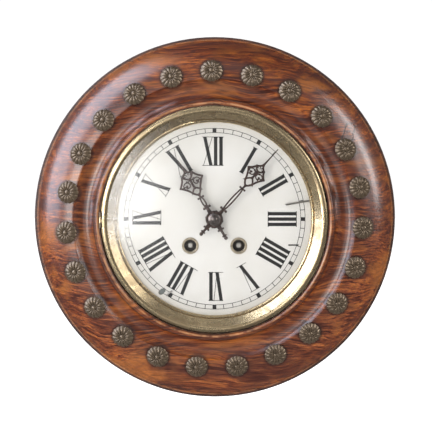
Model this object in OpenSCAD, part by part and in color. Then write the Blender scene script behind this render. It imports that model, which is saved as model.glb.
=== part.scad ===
// Round wall clock of the ox-eye kind: a turned wooden ring with 23 rosettes, a hinged
// brass bezel, an enamelled dial with two winding holes, and an eight-day movement that
// strikes on a coiled gong, in a square case behind the ring.
// The model hangs with +Z up and its face towards -Y. The wall plane is y = 0, and the origin
// is the hanger's hole in that plane. Every module is drawn from the dial's centre, with x
// right, y up and z away from the wall, and facing() turns and lowers it to its place.

/* [Wooden ring] */
// Outer radius of the turned ring
frame_r = 190; // [184:0.5:200]
// Distance of the ring's back face from the wall
frame_back = 72; // [71:0.5:76]
// Depth of the ring from its back face to its crest
frame_depth = 41; // [40:0.5:44]
// Height of the square edge at the ring's back
rim_h = 7; // [5:0.5:9]
// Radius of the crest between the hollow and the round
crest_r = 147; // [145:0.5:149]
// Radius of the large round outside the crest
round_r = 50; // [47:0.5:56]
// Width of the hollow inside the crest
hollow_w = 21.5; // [19:0.5:22]
// Depth of the hollow
hollow_depth = 5.5; // [4:0.5:7]
// Width of the small bead at the ring's inner edge
bead_w = 4.8; // [4:0.2:5]
// Width of the ledge that carries the dial
dial_ledge = 18; // [17:0.5:20]

/* [Rosettes] */
// Number of pressed rosettes on the ring
rosette_count = 23; // [20:1:24]
// Radius of the circle through the rosettes
rosette_circle_r = 153.5; // [153:0.5:155]
// Radius of one rosette
rosette_r = 12; // [10:0.25:12.5]
// Height of one rosette
rosette_h = 4.2; // [3:0.2:6]
// Number of petals on one rosette
petal_count = 14; // [10:1:16]
// Clock angle of the first rosette
rosette_start = -1; // [-5:0.5:5]

/* [Case behind the ring] */
// Outer width and height of the square case
case_w = 236; // [232:1:238]
// Thickness of the case boards
board_t = 12; // [10:0.5:13]
// Thickness of the rear door
door_t = 8.5; // [7:0.5:10]
// Radius of the hole in the hanger
hanger_hole_r = 4; // [3:0.25:5]
// Height of the hanger's hole above the case
hanger_rise = 10; // [8:0.5:13]
// Thickness of the steel hanger
hanger_t = 2.5; // [2:0.25:3]

/* [Dial] */
// Width of the dial's rim hidden by the sight ring
dial_lap = 7.15; // [6:0.05:8]
// Thickness of the dial
dial_t = 2; // [1.5:0.25:2.5]
// Distance of the dial's front from the wall
dial_front = 94; // [94:0.25:95]
// Distance of each winding hole from the upright centre line
winding_x = 25.3; // [25.2:0.1:26]
// Distance of the winding holes below the centre
winding_y = 28; // [27.5:0.1:29]
// Inner radius of the winding-hole collars
collar_r = 6.3; // [5.5:0.1:6.6]
// Width of a collar's flange
collar_flange_w = 2.4; // [1.6:0.1:3]

/* [Bezel and glass] */
// Outer radius of the hinged bezel
bezel_r = 116.4; // [115.5:0.1:117]
// Width of the bezel's visible band
bezel_w = 5.5; // [4.5:0.1:6.5]
// Gap between the bezel and the wooden ring
bezel_gap = 2; // [1.6:0.1:2.6]
// Thickness of the glass
glass_t = 2; // [1.5:0.25:2]
// Width of the sight ring's slope
slope_w = 6.6; // [6:0.1:7]
// Thickness of the sight ring's sheet
sheet_t = 1.2; // [0.8:0.1:1.4]
// Width of the sight ring's inner bead
sight_bead_w = 4.3; // [3.6:0.1:4.4]

/* [Hands] */
// Length of the minute hand from its centre
minute_len = 98.4; // [88:0.2:99]
// Length of the hour hand from its centre
hour_len = 72.8; // [66:0.2:76]
// Clock angle of the minute hand
minute_at = 42.2; // [0:0.1:360]
// Clock angle of the hour hand
hour_at = 328.2; // [0:0.1:360]
// Thickness of a hand
hand_t = 1.2; // [0.8:0.1:1.4]
// Radius of the hour hand's boss
hour_boss_r = 9.1; // [7:0.1:10]
// Radius of the minute hand's boss
minute_boss_r = 8.2; // [6:0.1:9]

/* [Movement] */
// Half the width of the movement plates
plate_x = 52; // [50:0.5:53]
// Half the height of the movement plates
plate_y = 70; // [70:0.25:71]
// Thickness of the movement plates
plate_t = 2; // [1.5:0.25:2.5]
// Distance between the movement plates
plate_gap = 38; // [37.5:0.25:39]
// Distance of the back plate's rear face from the wall
plate_back = 38; // [37.5:0.25:38.5]
// Radius of the spring barrels
barrel_r = 20; // [17:0.25:20]
// Number of teeth on each great wheel
great_teeth = 84; // [84:12:84]
// Distance from the pendulum's pivot to the middle of its bob
pendulum_len = 114.5; // [108:0.5:116]
// Radius of the pendulum bob
bob_r = 20; // [16:0.5:21]
// Thickness of the pendulum bob
bob_t = 8; // [6:0.5:9]
// Number of turns of the gong
gong_turns = 4; // [3:1:5]
// Radius of the gong wire
gong_wire_r = 1.3; // [1:0.1:1.6]
// Radius of the outermost turn of the gong
gong_r = 46; // [44:0.5:47]

/* [Hidden] */
$fn = 72;

// Clearances
run = 0.08;
snug = 0.02;
slack = 0.3;

// Ring profile
crest_z = frame_back + frame_depth;
round_mid_r = crest_r - 8;
round_mid_z = crest_z - sqrt(pow(round_r, 2) - pow(crest_r - round_mid_r, 2));
hollow_arc = (pow(hollow_w / 2, 2) + pow(hollow_depth, 2)) / (2 * hollow_depth);
hollow_mid_r = crest_r - 1.2 - hollow_w / 2;
hollow_mid_z = crest_z + hollow_arc - hollow_depth;
opening_r = bezel_r + bezel_gap;
bead_mid_r = opening_r + 0.4 + bead_w / 2;
bead_mid_z = crest_z - 0.9;
slope_foot_r = opening_r - 11.8;
sight_bead_mid_r = slope_foot_r - 3.6;
sight_in_r = sight_bead_mid_r - sight_bead_w / 2;
dial_r = sight_in_r + dial_lap;
dial_bore_r = dial_r - dial_ledge;
dial_back = dial_front - dial_t;
dial_recess_r = dial_r + slack;
dial_recess_z = dial_front + 2;
ring_fn = 180;

// Sight ring: an inner bead that lies on the dial, a slope like a dish's and a flat flange
flange_z = dial_front + 10.2;
flange_t = sheet_t;
slope_top_r = slope_foot_r + slope_w;
slope_outer_r = slope_top_r + sheet_t;
slope_recess_r = slope_outer_r + 0.4;
flange_r = opening_r - 0.6;
sight_bead_mid_z = dial_front + 2;

// Bezel: a slightly crowned band with a skirt behind it
skirt_t = 1.5;
skirt_back = flange_z + slack;
lip_back = flange_z + 8;
lip_t = 1.4;
lip_r = bezel_r - bezel_w;
band_rise = 0.9;
band_arc = 5.2;
band_mid_r = bezel_r - bezel_w / 2;
band_mid_z = lip_back + lip_t + band_rise - band_arc;
glass_r = bezel_r - skirt_t - 0.5;
glass_front = lip_back;
glass_back = glass_front - glass_t;
spring_ring_t = 1.6;

// Bezel hinge at nine o'clock, with an upright pin
hinge_x = -(bezel_r + 1);
hinge_z = lip_back + 2;
knuckle_r = 1.5;
hinge_pin_r = 0.7;
hinge_half = 8;
knuckle_half = 2.9;
leaf_t = 1;

// Bezel catch: a steel lever that lies over the dial's edge at about 79 degrees
catch_angle = 79;
catch_r = opening_r - 6.9;
catch_dir = [sin(catch_angle), cos(catch_angle)];
catch_at = catch_r * catch_dir;
rod_r = 0.85;
rod_z = dial_front + 1.3;
rod_in = [74.2, 14.9];
catch_eye_r = 3.2;
catch_pin_r = 1;
tongue_w = 8;
tongue_t = 1.2;

// Movement levels
plate_in = plate_back + plate_t;
front_in = plate_in + plate_gap;
front_out = front_in + plate_t;
pillar_r = 3.6;
pillar_end_r = 2.2;
pillar_x = plate_x - 8;
pillar_y = plate_y - 14;
bar_h = 8;
bar_t = 3;
bar_y = plate_y - 4;
spacer_x = 34;
spacer_r = 3.5;
spacer_screw_r = 1.6;

// Train: modules of the teeth
great_m = 0.56;
second_m = 0.45;
centre_m = 0.4;
third_m = 0.34;
pin_m = 0.4;
lock_m = 0.32;
warn_m = 0.3;
motion_m = 0.4;

// Train: tooth counts
great_pinion = 12;
inter_teeth = 76;
centre_pinion = 12;
centre_teeth = 84;
third_pinion = 7;
third_teeth = 91;
escape_pinion = 7;
escape_teeth = 34;
second_teeth = 72;
pin_pinion = 8;
pin_teeth = 60;
lock_pinion = 6;
lock_teeth = 60;
warn_pinion = 6;
warn_teeth = 48;
fly_pinion = 6;
cannon_teeth = 12;
minute_teeth = 36;
minute_pinion = 10;
hour_teeth = 40;

// The point at distances ra from a and rb from b, on the side given by the sign of turn
function meet(a, ra, b, rb, turn) =
  let (d = norm(b - a), u = (b - a) / d)
  let (along = (ra * ra - rb * rb + d * d) / (2 * d))
  a + along * u + turn * sqrt(ra * ra - along * along) * [-u[1], u[0]];
function polar(r, a) = [r * cos(a), r * sin(a)];
function heading(a, b) = atan2(b[1] - a[1], b[0] - a[0]);

// Train: where each arbor stands
time_at = [winding_x, -winding_y];
strike_at = [-winding_x, -winding_y];
centre_at = [0, 0];
inter_at = meet(centre_at, second_m * (inter_teeth + centre_pinion) / 2,
                time_at, great_m * (great_teeth + great_pinion) / 2, 1);
third_at = polar(centre_m * (centre_teeth + third_pinion) / 2, 70);
escape_gap = third_m * (third_teeth + escape_pinion) / 2;
escape_at = [0, third_at[1] + sqrt(pow(escape_gap, 2) - pow(third_at[0], 2))];
second_at = [-inter_at[0], inter_at[1]];
pin_at = second_at + polar(second_m * (second_teeth + pin_pinion) / 2, 110);
lock_at = pin_at + polar(pin_m * (pin_teeth + lock_pinion) / 2, 80);
warn_at = lock_at + polar(lock_m * (lock_teeth + warn_pinion) / 2, 70);
fly_at = warn_at + polar(warn_m * (warn_teeth + fly_pinion) / 2, 120);
minute_post = [0, motion_m * (cannon_teeth + minute_teeth) / 2];
hour_m = 2 * minute_post[1] / (minute_pinion + hour_teeth);
escape_r = 12;
anchor_at = [0, escape_at[1] + escape_r * 1.75];

// Arbors and pivots
arbor_r = 0.9;
pivot_r = 0.6;
winding_arbor_r = 3;
winding_pivot_r = 2;
centre_arbor_r = 1.2;
post_r = 1.2;
cannon_r = 2;
hour_pipe_r = 3;
square_w = 4.4;
ratchet_r = 7.5;
ratchet_teeth = 24;
ratchet_z = front_out + 0.6;
ratchet_t = 1.8;

// Hands stand clear of the dial and of each other
hour_hand_z = dial_front + 5;
minute_hand_z = dial_front + 9;
hour_pipe_end = hour_hand_z + 2;
cannon_end = minute_hand_z + 1.6;

// Pendulum, crutch and gong behind the back plate
pendulum_z = plate_back - 10.8;
pend_rod_r = 1.2;
bob_at = anchor_at[1] - pendulum_len;
crutch_z = plate_back - 5;
gong_z = 14.5;
gong_at = [0, -34];
gong_pitch = 6;
case_half = case_w / 2;
case_in = case_half - board_t;
hanger_hole_y = case_half + hanger_rise;
bar_x = case_in - 6;
bar_screw_x = bar_x - 12;
block_x = 3;
block_w = 18;
block_back = 9.6;
block_front = 19.4;
hammer_at = [-46, 2];
hammer_head_r = 4.5;
hammer_pivot_r = 1.2;
count_lever_at = [-47, 34];
lift_at = [-40, 20];
lift_reach = norm(lift_at) - 6.4;
click_off = [10, 8.4];
click_tip = [7.9, -1.4];

// Door
door_edge = case_in - 0.6;
door_face = 0.5;
door_axis_x = -(case_in - 2.1);
door_axis_z = 2.4;
door_left = door_axis_x + 3.3;
door_knuckle_r = 1.9;
door_pin_r = 0.9;
door_hinge_y = 65;
door_hinge_half = 14;
door_knuckle_half = 4.6;

module facing() {
  translate([0, 0, -hanger_hole_y]) rotate([90, 0, 0]) children();
}

// A straight round rod from one point to another
module rod(a, b, r, sides = 0) {
  v = b - a;
  translate(a)
    rotate([0, acos(v[2] / norm(v)), atan2(v[1], v[0])])
      cylinder(h = norm(v), r = r, $fn = sides > 0 ? sides : $fn);
}

// Teeth as a closed outline. root, pitch and tip are the tooth's widths as parts of a pitch.
function tooth_line(n, m, add, ded, root, mid, tip, phase) = [
  for (i = [0:n - 1])
    let (p = 360 / n, a = i * p + phase, r = m * n / 2)
    each [
      polar(r - ded * m, a - root * p / 2), polar(r, a - mid * p / 2),
      polar(r + add * m, a - tip * p / 2), polar(r + add * m, a + tip * p / 2),
      polar(r, a + mid * p / 2), polar(r - ded * m, a + root * p / 2)
    ]
];

function wheel_line(n, m, phase) = tooth_line(n, m, 0.85, 1.1, 0.48, 0.36, 0.16, phase);
function pinion_line(n, m, phase) = tooth_line(n, m, 0.7, 1.25, 0.42, 0.32, 0.14, phase);

// One window between the spokes of a wheel
function window_line(r1, r2, half1, half2, a) = concat(
  [for (k = [-2:2]) polar(r1, a + half1 * k / 2)],
  [for (k = [2:-1:-2]) polar(r2, a + half2 * k / 2)]
);

// A brass wheel with teeth, a rim, spokes and an eight-sided hole, all flat faces
module wheel(n, m, thick, phase, spokes, hub, hole) {
  rim = m * n / 2 - 1.1 * m - 1.3;
  linear_extrude(thick) {
    difference() {
      polygon(wheel_line(n, m, phase));
      circle(r = hole, $fn = 8);
      for (i = [0:spokes - 1])
        polygon(window_line(hub, rim, 180 / spokes - asin(0.8 / hub), 180 / spokes - asin(0.8 / rim),
                            (i + 0.5) * 360 / spokes));
    }
  }
}

// A steel pinion leaf stack
module pinion(n, m, z0, z1, phase) {
  translate([0, 0, z0]) linear_extrude(z1 - z0) polygon(pinion_line(n, m, phase));
}

// A stretch of arbor
module shaft(z0, z1, r) {
  translate([0, 0, z0]) cylinder(h = z1 - z0, r = r);
}

// An arbor between the plates, with a pinion between z0 and z1 and a pivot in each plate
module pinion_arbor(n, m, z0, z1, phase) {
  shaft(plate_back, plate_in + slack, pivot_r);
  shaft(plate_in + slack, z0, arbor_r);
  pinion(n, m, z0, z1, phase);
  shaft(z1, front_in - slack, arbor_r);
  shaft(front_in - slack, front_out, pivot_r);
}

module seat(at, z = 0) {
  translate([at[0], at[1], z]) children();
}

// A phase that puts a tooth at angle a, and one that puts a gap there
function tooth_at(a) = a;
function gap_at(a, n) = a + 180 / n;

// Wooden ring
module ring_profile() {
  difference() {
    union() {
      translate([dial_bore_r, frame_back]) square([crest_r - dial_bore_r, frame_depth]);
      intersection() {
        translate([round_mid_r, round_mid_z]) circle(round_r, $fn = ring_fn);
        translate([crest_r - 5, frame_back]) square([frame_r - crest_r + 2.5, frame_depth]);
      }
      polygon([
        [crest_r, frame_back], [frame_r, frame_back], [frame_r, frame_back + rim_h - 1.2],
        [frame_r - 1.2, frame_back + rim_h], [crest_r, frame_back + rim_h]
      ]);
      translate([bead_mid_r, bead_mid_z]) circle(bead_w / 2);
    }
    translate([hollow_mid_r, hollow_mid_z]) circle(hollow_arc, $fn = ring_fn);
    translate([0, dial_back]) square([dial_recess_r, frame_depth]);
    translate([0, dial_recess_z]) square([slope_recess_r, frame_depth]);
    translate([0, flange_z - flange_t]) square([opening_r, frame_depth]);
  }
}

module wood_frame() {
  color([0.45, 0.27, 0.17])
  facing()
  difference() {
    rotate_extrude($fn = ring_fn) ring_profile();
    // mortise for the bezel's hinge
    translate([hinge_x - 2, -hinge_half - slack, skirt_back])
      cube([4, 2 * (hinge_half + slack), frame_depth]);
    // pocket for the catch lever's eye and the bezel's tongue
    seat(catch_at, rod_z - rod_r - slack) cylinder(h = 10, r = catch_eye_r + 1);
    rotate([0, 0, 90 - catch_angle])
      translate([catch_r, -tongue_w / 2 - 1, rod_z - rod_r - slack])
        cube([opening_r - 0.4 - catch_r, tongue_w + 2, 10]);
  }
}

// Rosettes: one closed form of facets, round on round from the nail's hole to the rim
function petal(i) = i % 2 == 0 ? 1 : 0;
function rosette_round(r, r_gap, z, z_gap) = [
  for (i = [0:2 * petal_count - 1])
    let (a = i * 180 / petal_count, p = petal(i))
    [(p > 0 ? r : r_gap) * cos(a), (p > 0 ? r : r_gap) * sin(a), p > 0 ? z : z_gap]
];
nail_r = 1;
rosette_rounds = [
  rosette_round(nail_r + 0.1, nail_r + 0.1, 0, 0),
  rosette_round(nail_r + 0.1, nail_r + 0.1, rosette_h * 0.62, rosette_h * 0.62),
  rosette_round(rosette_r * 0.3, rosette_r * 0.3, rosette_h * 0.66, rosette_h * 0.6),
  rosette_round(rosette_r * 0.55, rosette_r * 0.55, rosette_h * 0.98, rosette_h * 0.66),
  rosette_round(rosette_r * 0.8, rosette_r * 0.8, rosette_h * 0.94, rosette_h * 0.5),
  rosette_round(rosette_r, rosette_r * 0.92, rosette_h * 0.22, rosette_h * 0.12),
  rosette_round(rosette_r, rosette_r * 0.92, 0, 0)
];
function round_faces(k, n) = [
  for (j = [0:k - 1])
    for (i = [0:n - 1])
      let (a = j * n + i, b = j * n + (i + 1) % n)
      let (c = ((j + 1) % k) * n + i, d = ((j + 1) % k) * n + (i + 1) % n)
      each [[a, c, b], [b, c, d]]
];

// Tilt of the wood under a rosette, and the height of its seat
rosette_tilt = asin((rosette_circle_r - round_mid_r) / round_r);
rosette_seat_z = round_mid_z + round_r * cos(rosette_tilt);

module on_ring(i) {
  rotate([0, 0, 90 - rosette_start - i * 360 / rosette_count])
    translate([rosette_circle_r, 0, rosette_seat_z])
      rotate([0, rosette_tilt, 0])
        translate([0, 0, 0.05])
          children();
}

module rosette() {
  polyhedron([for (round = rosette_rounds) each round],
             round_faces(len(rosette_rounds), 2 * petal_count));
}

module rosettes() {
  color([0.36, 0.29, 0.2])
  facing()
  for (i = [0:rosette_count - 1]) on_ring(i) rosette();
}

module rosette_nail() {
  translate([0, 0, -9]) cylinder(h = 9 + rosette_h * 0.72, r = nail_r);
  translate([0, 0, rosette_h * 0.72])
    intersection() {
      translate([0, 0, -1.4]) sphere(3.2);
      cylinder(h = 4, r = 3);
    }
}

module rosette_nails() {
  color([0.42, 0.34, 0.22])
  facing()
  for (i = [0:rosette_count - 1]) on_ring(i) rosette_nail();
}

// Case boards
module box_top() {
  color([0.42, 0.26, 0.17])
  facing()
  difference() {
    translate([-case_half, case_in, 0]) cube([case_w, board_t, frame_back]);
    translate([-hanger_w / 2 - 0.2, case_in + 1, -1])
      cube([hanger_w + 0.4, board_t, hanger_t + 1]);
  }
}

module box_bottom() {
  color([0.42, 0.26, 0.17])
  facing()
  translate([-case_half, -case_half, 0]) cube([case_w, board_t, frame_back]);
}

module box_left() {
  color([0.42, 0.26, 0.17])
  facing()
  union() {
    translate([-case_half, -case_in, 0]) cube([board_t, 2 * case_in, frame_back]);
    // stile beside the door, broken at the two hinges
    difference() {
      translate([-case_in - 1, -case_in, 0])
        cube([door_left - 1.4 + case_in + 1, 2 * case_in, door_face + door_t]);
      for (s = [-1, 1])
        translate([-case_in, s * door_hinge_y - door_hinge_half - 1, -1])
          cube([20, 2 * door_hinge_half + 2, door_t + 4]);
    }
  }
}

module box_right() {
  color([0.42, 0.26, 0.17])
  facing()
  translate([case_in, -case_in, 0]) cube([board_t, 2 * case_in, frame_back]);
}

block_leg = 26;
block_z = frame_back - 22;
block_hole = case_in - 8.5;
module corner_blocks() {
  color([0.5, 0.34, 0.22])
  facing()
  for (sx = [-1, 1])
    for (sy = [-1, 1])
      difference() {
        translate([0, 0, block_z])
          linear_extrude(frame_back - block_z)
            polygon([
              [sx * case_in, sy * case_in], [sx * (case_in - block_leg), sy * case_in],
              [sx * case_in, sy * (case_in - block_leg)]
            ]);
        seat([sx * block_hole, sy * block_hole], block_z - 1)
          cylinder(h = frame_back, r = screw_r + 0.05);
      }
}

// Wood screws, all alike
screw_r = 1.7;
screw_head_r = 3.4;
screw_head_h = 1.8;
hanger_w = 40;
hanger_screw_x = 14;
hanger_screw_y = case_in + 6;
module wood_screw(len) {
  cylinder(h = screw_head_h, r = screw_head_r);
  cylinder(h = screw_head_h + len, r = screw_r);
}

module wood_screws() {
  color([0.55, 0.53, 0.48])
  facing()
  union() {
    for (sx = [-1, 1])
      for (sy = [-1, 1]) {
        seat([sx * bar_screw_x, sy * bar_y], frame_back - bar_t - screw_head_h) wood_screw(15);
        seat([sx * block_hole, sy * block_hole], block_z - screw_head_h) wood_screw(34);
      }
    for (sx = [-1, 1])
      seat([sx * hanger_screw_x, hanger_screw_y]) wood_screw(16);
    for (x = [block_x - 7, block_x + block_w + 7])
      translate([x, -case_in + 3 + screw_head_h, (block_back + block_front) / 2])
        rotate([90, 0, 0]) wood_screw(10);
  }
}

module hanger_plate() {
  color([0.35, 0.34, 0.33])
  facing()
  difference() {
    linear_extrude(hanger_t) {
      translate([-hanger_w / 2, case_in + 1]) square([hanger_w, 15]);
      translate([0, hanger_hole_y - 2]) circle(14);
    }
    seat([0, hanger_hole_y], -1) cylinder(h = hanger_t + 2, r = hanger_hole_r);
    for (sx = [-1, 1])
      seat([sx * hanger_screw_x, hanger_screw_y], -1) {
        cylinder(h = hanger_t + 2, r = screw_r + 0.05);
        cylinder(h = 1 + screw_head_h, r = screw_head_r + 0.05);
      }
  }
}

// Rear door with its two hinges and a friction catch
module rear_door() {
  color([0.47, 0.31, 0.2])
  facing()
  difference() {
    translate([door_left, -door_edge, door_face])
      cube([door_edge - door_left, 2 * door_edge, door_t]);
    // sunk panel
    translate([door_left + 26, -door_edge + 26, door_face - 1])
      cube([door_edge - door_left - 52, 2 * door_edge - 52, 4]);
    // finger notch
    translate([door_edge, -40, -1]) cylinder(h = door_t + 4, r = 9);
    for (s = [-1, 1])
      translate([door_left - 1, s * door_hinge_y - door_hinge_half, door_face - 1])
        cube([1 + leaf_t, 2 * door_hinge_half, door_t + 2]);
  }
}

module upright(at_x, at_z, y0, y1, r) {
  translate([at_x, y1, at_z]) rotate([90, 0, 0]) cylinder(h = y1 - y0, r = r);
}

module door_hinge_leaves() {
  color([0.6, 0.48, 0.25])
  facing()
  for (s = [-1, 1]) {
    y = s * door_hinge_y;
    difference() {
      union() {
        translate([-case_in, y - door_hinge_half, door_axis_z + 2.4])
          cube([1.1, 2 * door_hinge_half, 13]);
        for (e = [0, 1]) {
          y0 = e == 0 ? y - door_hinge_half : y + door_knuckle_half + 0.2;
          y1 = e == 0 ? y - door_knuckle_half - 0.2 : y + door_hinge_half;
          translate([-case_in, y0, door_axis_z]) cube([1.1, y1 - y0, 3]);
          upright(door_axis_x, door_axis_z, y0, y1, door_knuckle_r);
        }
      }
      upright(door_axis_x, door_axis_z, y - door_hinge_half - 1, y + door_hinge_half + 1, door_pin_r);
    }
    upright(door_axis_x, door_axis_z, y - door_hinge_half, y + door_hinge_half, door_pin_r);
  }
}

module door_hinge_flaps() {
  color([0.6, 0.48, 0.25])
  facing()
  for (s = [-1, 1]) {
    y = s * door_hinge_y;
    difference() {
      union() {
        translate([door_left - 0.2, y - door_hinge_half + 0.1, door_face + 0.2])
          cube([leaf_t + 0.1, 2 * door_hinge_half - 0.2, door_t - 0.4]);
        upright(door_axis_x, door_axis_z, y - door_knuckle_half, y + door_knuckle_half,
                door_knuckle_r);
        translate([door_axis_x, y - door_knuckle_half, door_axis_z - 1])
          cube([3.5, 2 * door_knuckle_half, 2]);
      }
      upright(door_axis_x, door_axis_z, y - door_hinge_half, y + door_hinge_half,
              door_pin_r + run);
    }
  }
}

module door_catch() {
  color([0.6, 0.6, 0.58])
  facing()
  translate([case_in - 0.4, -9, 2]) cube([0.4, 18, 18]);
}

// Dial, its nail and the winding-hole collars
dial_centre_r = 5.5;
collar_tube_t = 1.05;
module dial() {
  color([0.93, 0.9, 0.86])
  facing()
  translate([0, 0, dial_back])
    difference() {
      cylinder(h = dial_t, r = dial_r, $fn = ring_fn);
      translate([0, 0, -1]) cylinder(h = dial_t + 2, r = dial_centre_r);
      for (at = [time_at, strike_at])
        seat(at, -1) cylinder(h = dial_t + 2, r = collar_r + collar_tube_t + 0.1);
      seat(nail_at, -1) cylinder(h = dial_t + 2, r = dial_nail_r + 0.05);
    }
}

nail_at = polar(sight_in_r - 7.35, 90 - 211.9);
dial_nail_r = 0.7;
module dial_nail() {
  color([0.5, 0.5, 0.5])
  facing()
  union() {
    seat(nail_at, dial_back - 5) cylinder(h = dial_t + 6.2, r = dial_nail_r);
    rod([nail_at[0], nail_at[1], dial_front + 1.1],
        [nail_at[0] + 5, nail_at[1] + 4.4, dial_front + 1.6], dial_nail_r + 0.15);
  }
}

module winding_hole_collars() {
  color([0.65, 0.5, 0.28])
  facing()
  for (at = [time_at, strike_at])
    seat(at)
      rotate_extrude() {
        translate([collar_r, dial_front - 3.2]) square([collar_tube_t, 3.4]);
        polygon([
          [collar_r, dial_front], [collar_r + collar_flange_w, dial_front],
          [collar_r + collar_flange_w, dial_front + 0.5],
          [collar_r + collar_flange_w * 0.7, dial_front + 1.2],
          [collar_r + collar_flange_w * 0.25, dial_front + 1.2], [collar_r, dial_front + 0.7]
        ]);
      }
}

// Sight ring
module sight_bead() {
  rotate_extrude($fn = ring_fn)
    difference() {
      translate([sight_bead_mid_r, sight_bead_mid_z]) circle(sight_bead_w / 2);
      translate([sight_in_r - 1, dial_front - sight_bead_w])
        square([sight_bead_w + 2, sight_bead_w]);
    }
}

module sight_slope() {
  rotate_extrude($fn = ring_fn)
    polygon([
      [sight_bead_mid_r + 0.9, sight_bead_mid_z + 1.2], [slope_top_r, flange_z],
      [flange_r, flange_z], [flange_r, flange_z - flange_t],
      [slope_outer_r, flange_z - flange_t], [sight_bead_mid_r + 1.6, sight_bead_mid_z + 0.2]
    ]);
}

module sight_ring() {
  color([0.62, 0.52, 0.32])
  facing()
  difference() {
    union() {
      sight_bead();
      sight_slope();
    }
    // arch for the catch lever under the bead
    seat(catch_at, dial_front - 1)
      rotate([0, 0, heading(catch_at, rod_in)])
        translate([0, -2.6, 0]) cube([14, 4, rod_r + 2.5]);
    rotate([0, 0, 90 - catch_angle])
      translate([slope_outer_r - 0.2, -tongue_w / 2 - 1, flange_z - flange_t - 1])
        cube([5, tongue_w + 2, flange_t + 2]);
    // room for the hinge leaf
    translate([-flange_r - 2, -hinge_half - slack, flange_z - flange_t - 1])
      cube([3.2, 2 * (hinge_half + slack), flange_t + 2]);
  }
}

// Bezel with its skirt, catch tongue and moving knuckle
module bezel_profile() {
  translate([bezel_r - skirt_t, skirt_back]) square([skirt_t, lip_back - skirt_back + 0.5]);
  translate([lip_r, lip_back]) square([bezel_w, lip_t]);
  intersection() {
    translate([band_mid_r, band_mid_z]) circle(band_arc);
    translate([lip_r, lip_back]) square([bezel_w, 6]);
  }
}

module bezel() {
  color([0.66, 0.54, 0.32])
  facing()
  difference() {
    union() {
      difference() {
        rotate_extrude($fn = ring_fn) bezel_profile();
        upright(hinge_x, hinge_z, -hinge_half - slack, -knuckle_half - 0.1, knuckle_r + slack);
        upright(hinge_x, hinge_z, knuckle_half + 0.1, hinge_half + slack, knuckle_r + slack);
      }
      upright(hinge_x, hinge_z, -knuckle_half, knuckle_half, knuckle_r);
      translate([hinge_x, -knuckle_half, hinge_z - 1.4])
        cube([2.2, 2 * knuckle_half, 1.6]);
      rotate([0, 0, 90 - catch_angle])
        translate([bezel_r - skirt_t + 0.1, -tongue_w / 2, rod_z])
          cube([tongue_t, tongue_w, skirt_back - rod_z + 1]);
    }
    upright(hinge_x, hinge_z, -hinge_half - 1, hinge_half + 1, hinge_pin_r + run);
  }
}

module glass() {
  color([0.85, 0.9, 0.9, 0.3])
  facing()
  translate([0, 0, glass_back]) cylinder(h = glass_t, r = glass_r, $fn = ring_fn);
}

module glass_ring() {
  color([0.6, 0.5, 0.3])
  facing()
  translate([0, 0, glass_back - spring_ring_t])
    difference() {
      cylinder(h = spring_ring_t, r = bezel_r - skirt_t - 0.05, $fn = ring_fn);
      translate([0, 0, -1]) cylinder(h = spring_ring_t + 2, r = glass_r - 2.2, $fn = ring_fn);
      translate([-3, -bezel_r - 4, -1]) cube([6, 8, spring_ring_t + 2]);
    }
}

module bezel_hinge() {
  color([0.66, 0.54, 0.32])
  facing()
  union() {
    difference() {
      union() {
        translate([hinge_x - 1.8, -hinge_half, skirt_back + 0.5])
          cube([leaf_t, 2 * hinge_half, hinge_z - 2.2 - skirt_back]);
        for (s = [-1, 1]) {
          y0 = s < 0 ? -hinge_half : knuckle_half + 0.1;
          y1 = s < 0 ? -knuckle_half - 0.1 : hinge_half;
          translate([hinge_x - 1.8, y0, hinge_z - 2.5]) cube([leaf_t, y1 - y0, 2.5]);
          upright(hinge_x, hinge_z, y0, y1, knuckle_r);
        }
      }
      upright(hinge_x, hinge_z, -hinge_half - 1, hinge_half + 1, hinge_pin_r);
    }
    upright(hinge_x, hinge_z, -hinge_half, hinge_half, hinge_pin_r);
  }
}

// Catch lever and its pivot
module catch_lever() {
  color([0.55, 0.55, 0.54])
  facing()
  difference() {
    union() {
      seat(catch_at, rod_z - rod_r + 0.15) cylinder(h = 2 * rod_r - 0.3, r = catch_eye_r);
      rod([rod_in[0], rod_in[1], rod_z], [catch_at[0], catch_at[1], rod_z], rod_r);
    }
    seat(catch_at, rod_z - 4) cylinder(h = 8, r = catch_pin_r + run);
  }
}

module catch_pivot() {
  color([0.5, 0.5, 0.5])
  facing()
  seat(catch_at, rod_z - rod_r - slack - 6) {
    cylinder(h = 6 + slack + 2 * rod_r + 0.5, r = catch_pin_r);
    translate([0, 0, 6 + slack + 2 * rod_r + 0.15]) cylinder(h = 0.5, r = 1.6);
  }
}

// Hands: a flat cut shape, a straight bar, a bent bar and a dot, all as thick as a hand
module cut(line) {
  linear_extrude(hand_t) polygon(line);
}

module bar(a, b, w) {
  u = (b - a) / norm(b - a);
  n = w / 2 * [-u[1], u[0]];
  cut([a + n, b + n, b - n, a - n]);
}

// A bar bent to its left by sag
module bent(a, b, sag, w) {
  u = (b - a) / norm(b - a);
  n = [-u[1], u[0]];
  mid = [for (i = [0:6]) a + (b - a) * i / 6 + n * sag * i * (6 - i) / 9];
  cut(concat([for (q = mid) q + n * w / 2], [for (i = [6:-1:0]) mid[i] - n * w / 2]));
}

module dot(at, r) {
  translate(at) cylinder(h = hand_t, r = r, $fn = 12);
}

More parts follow.
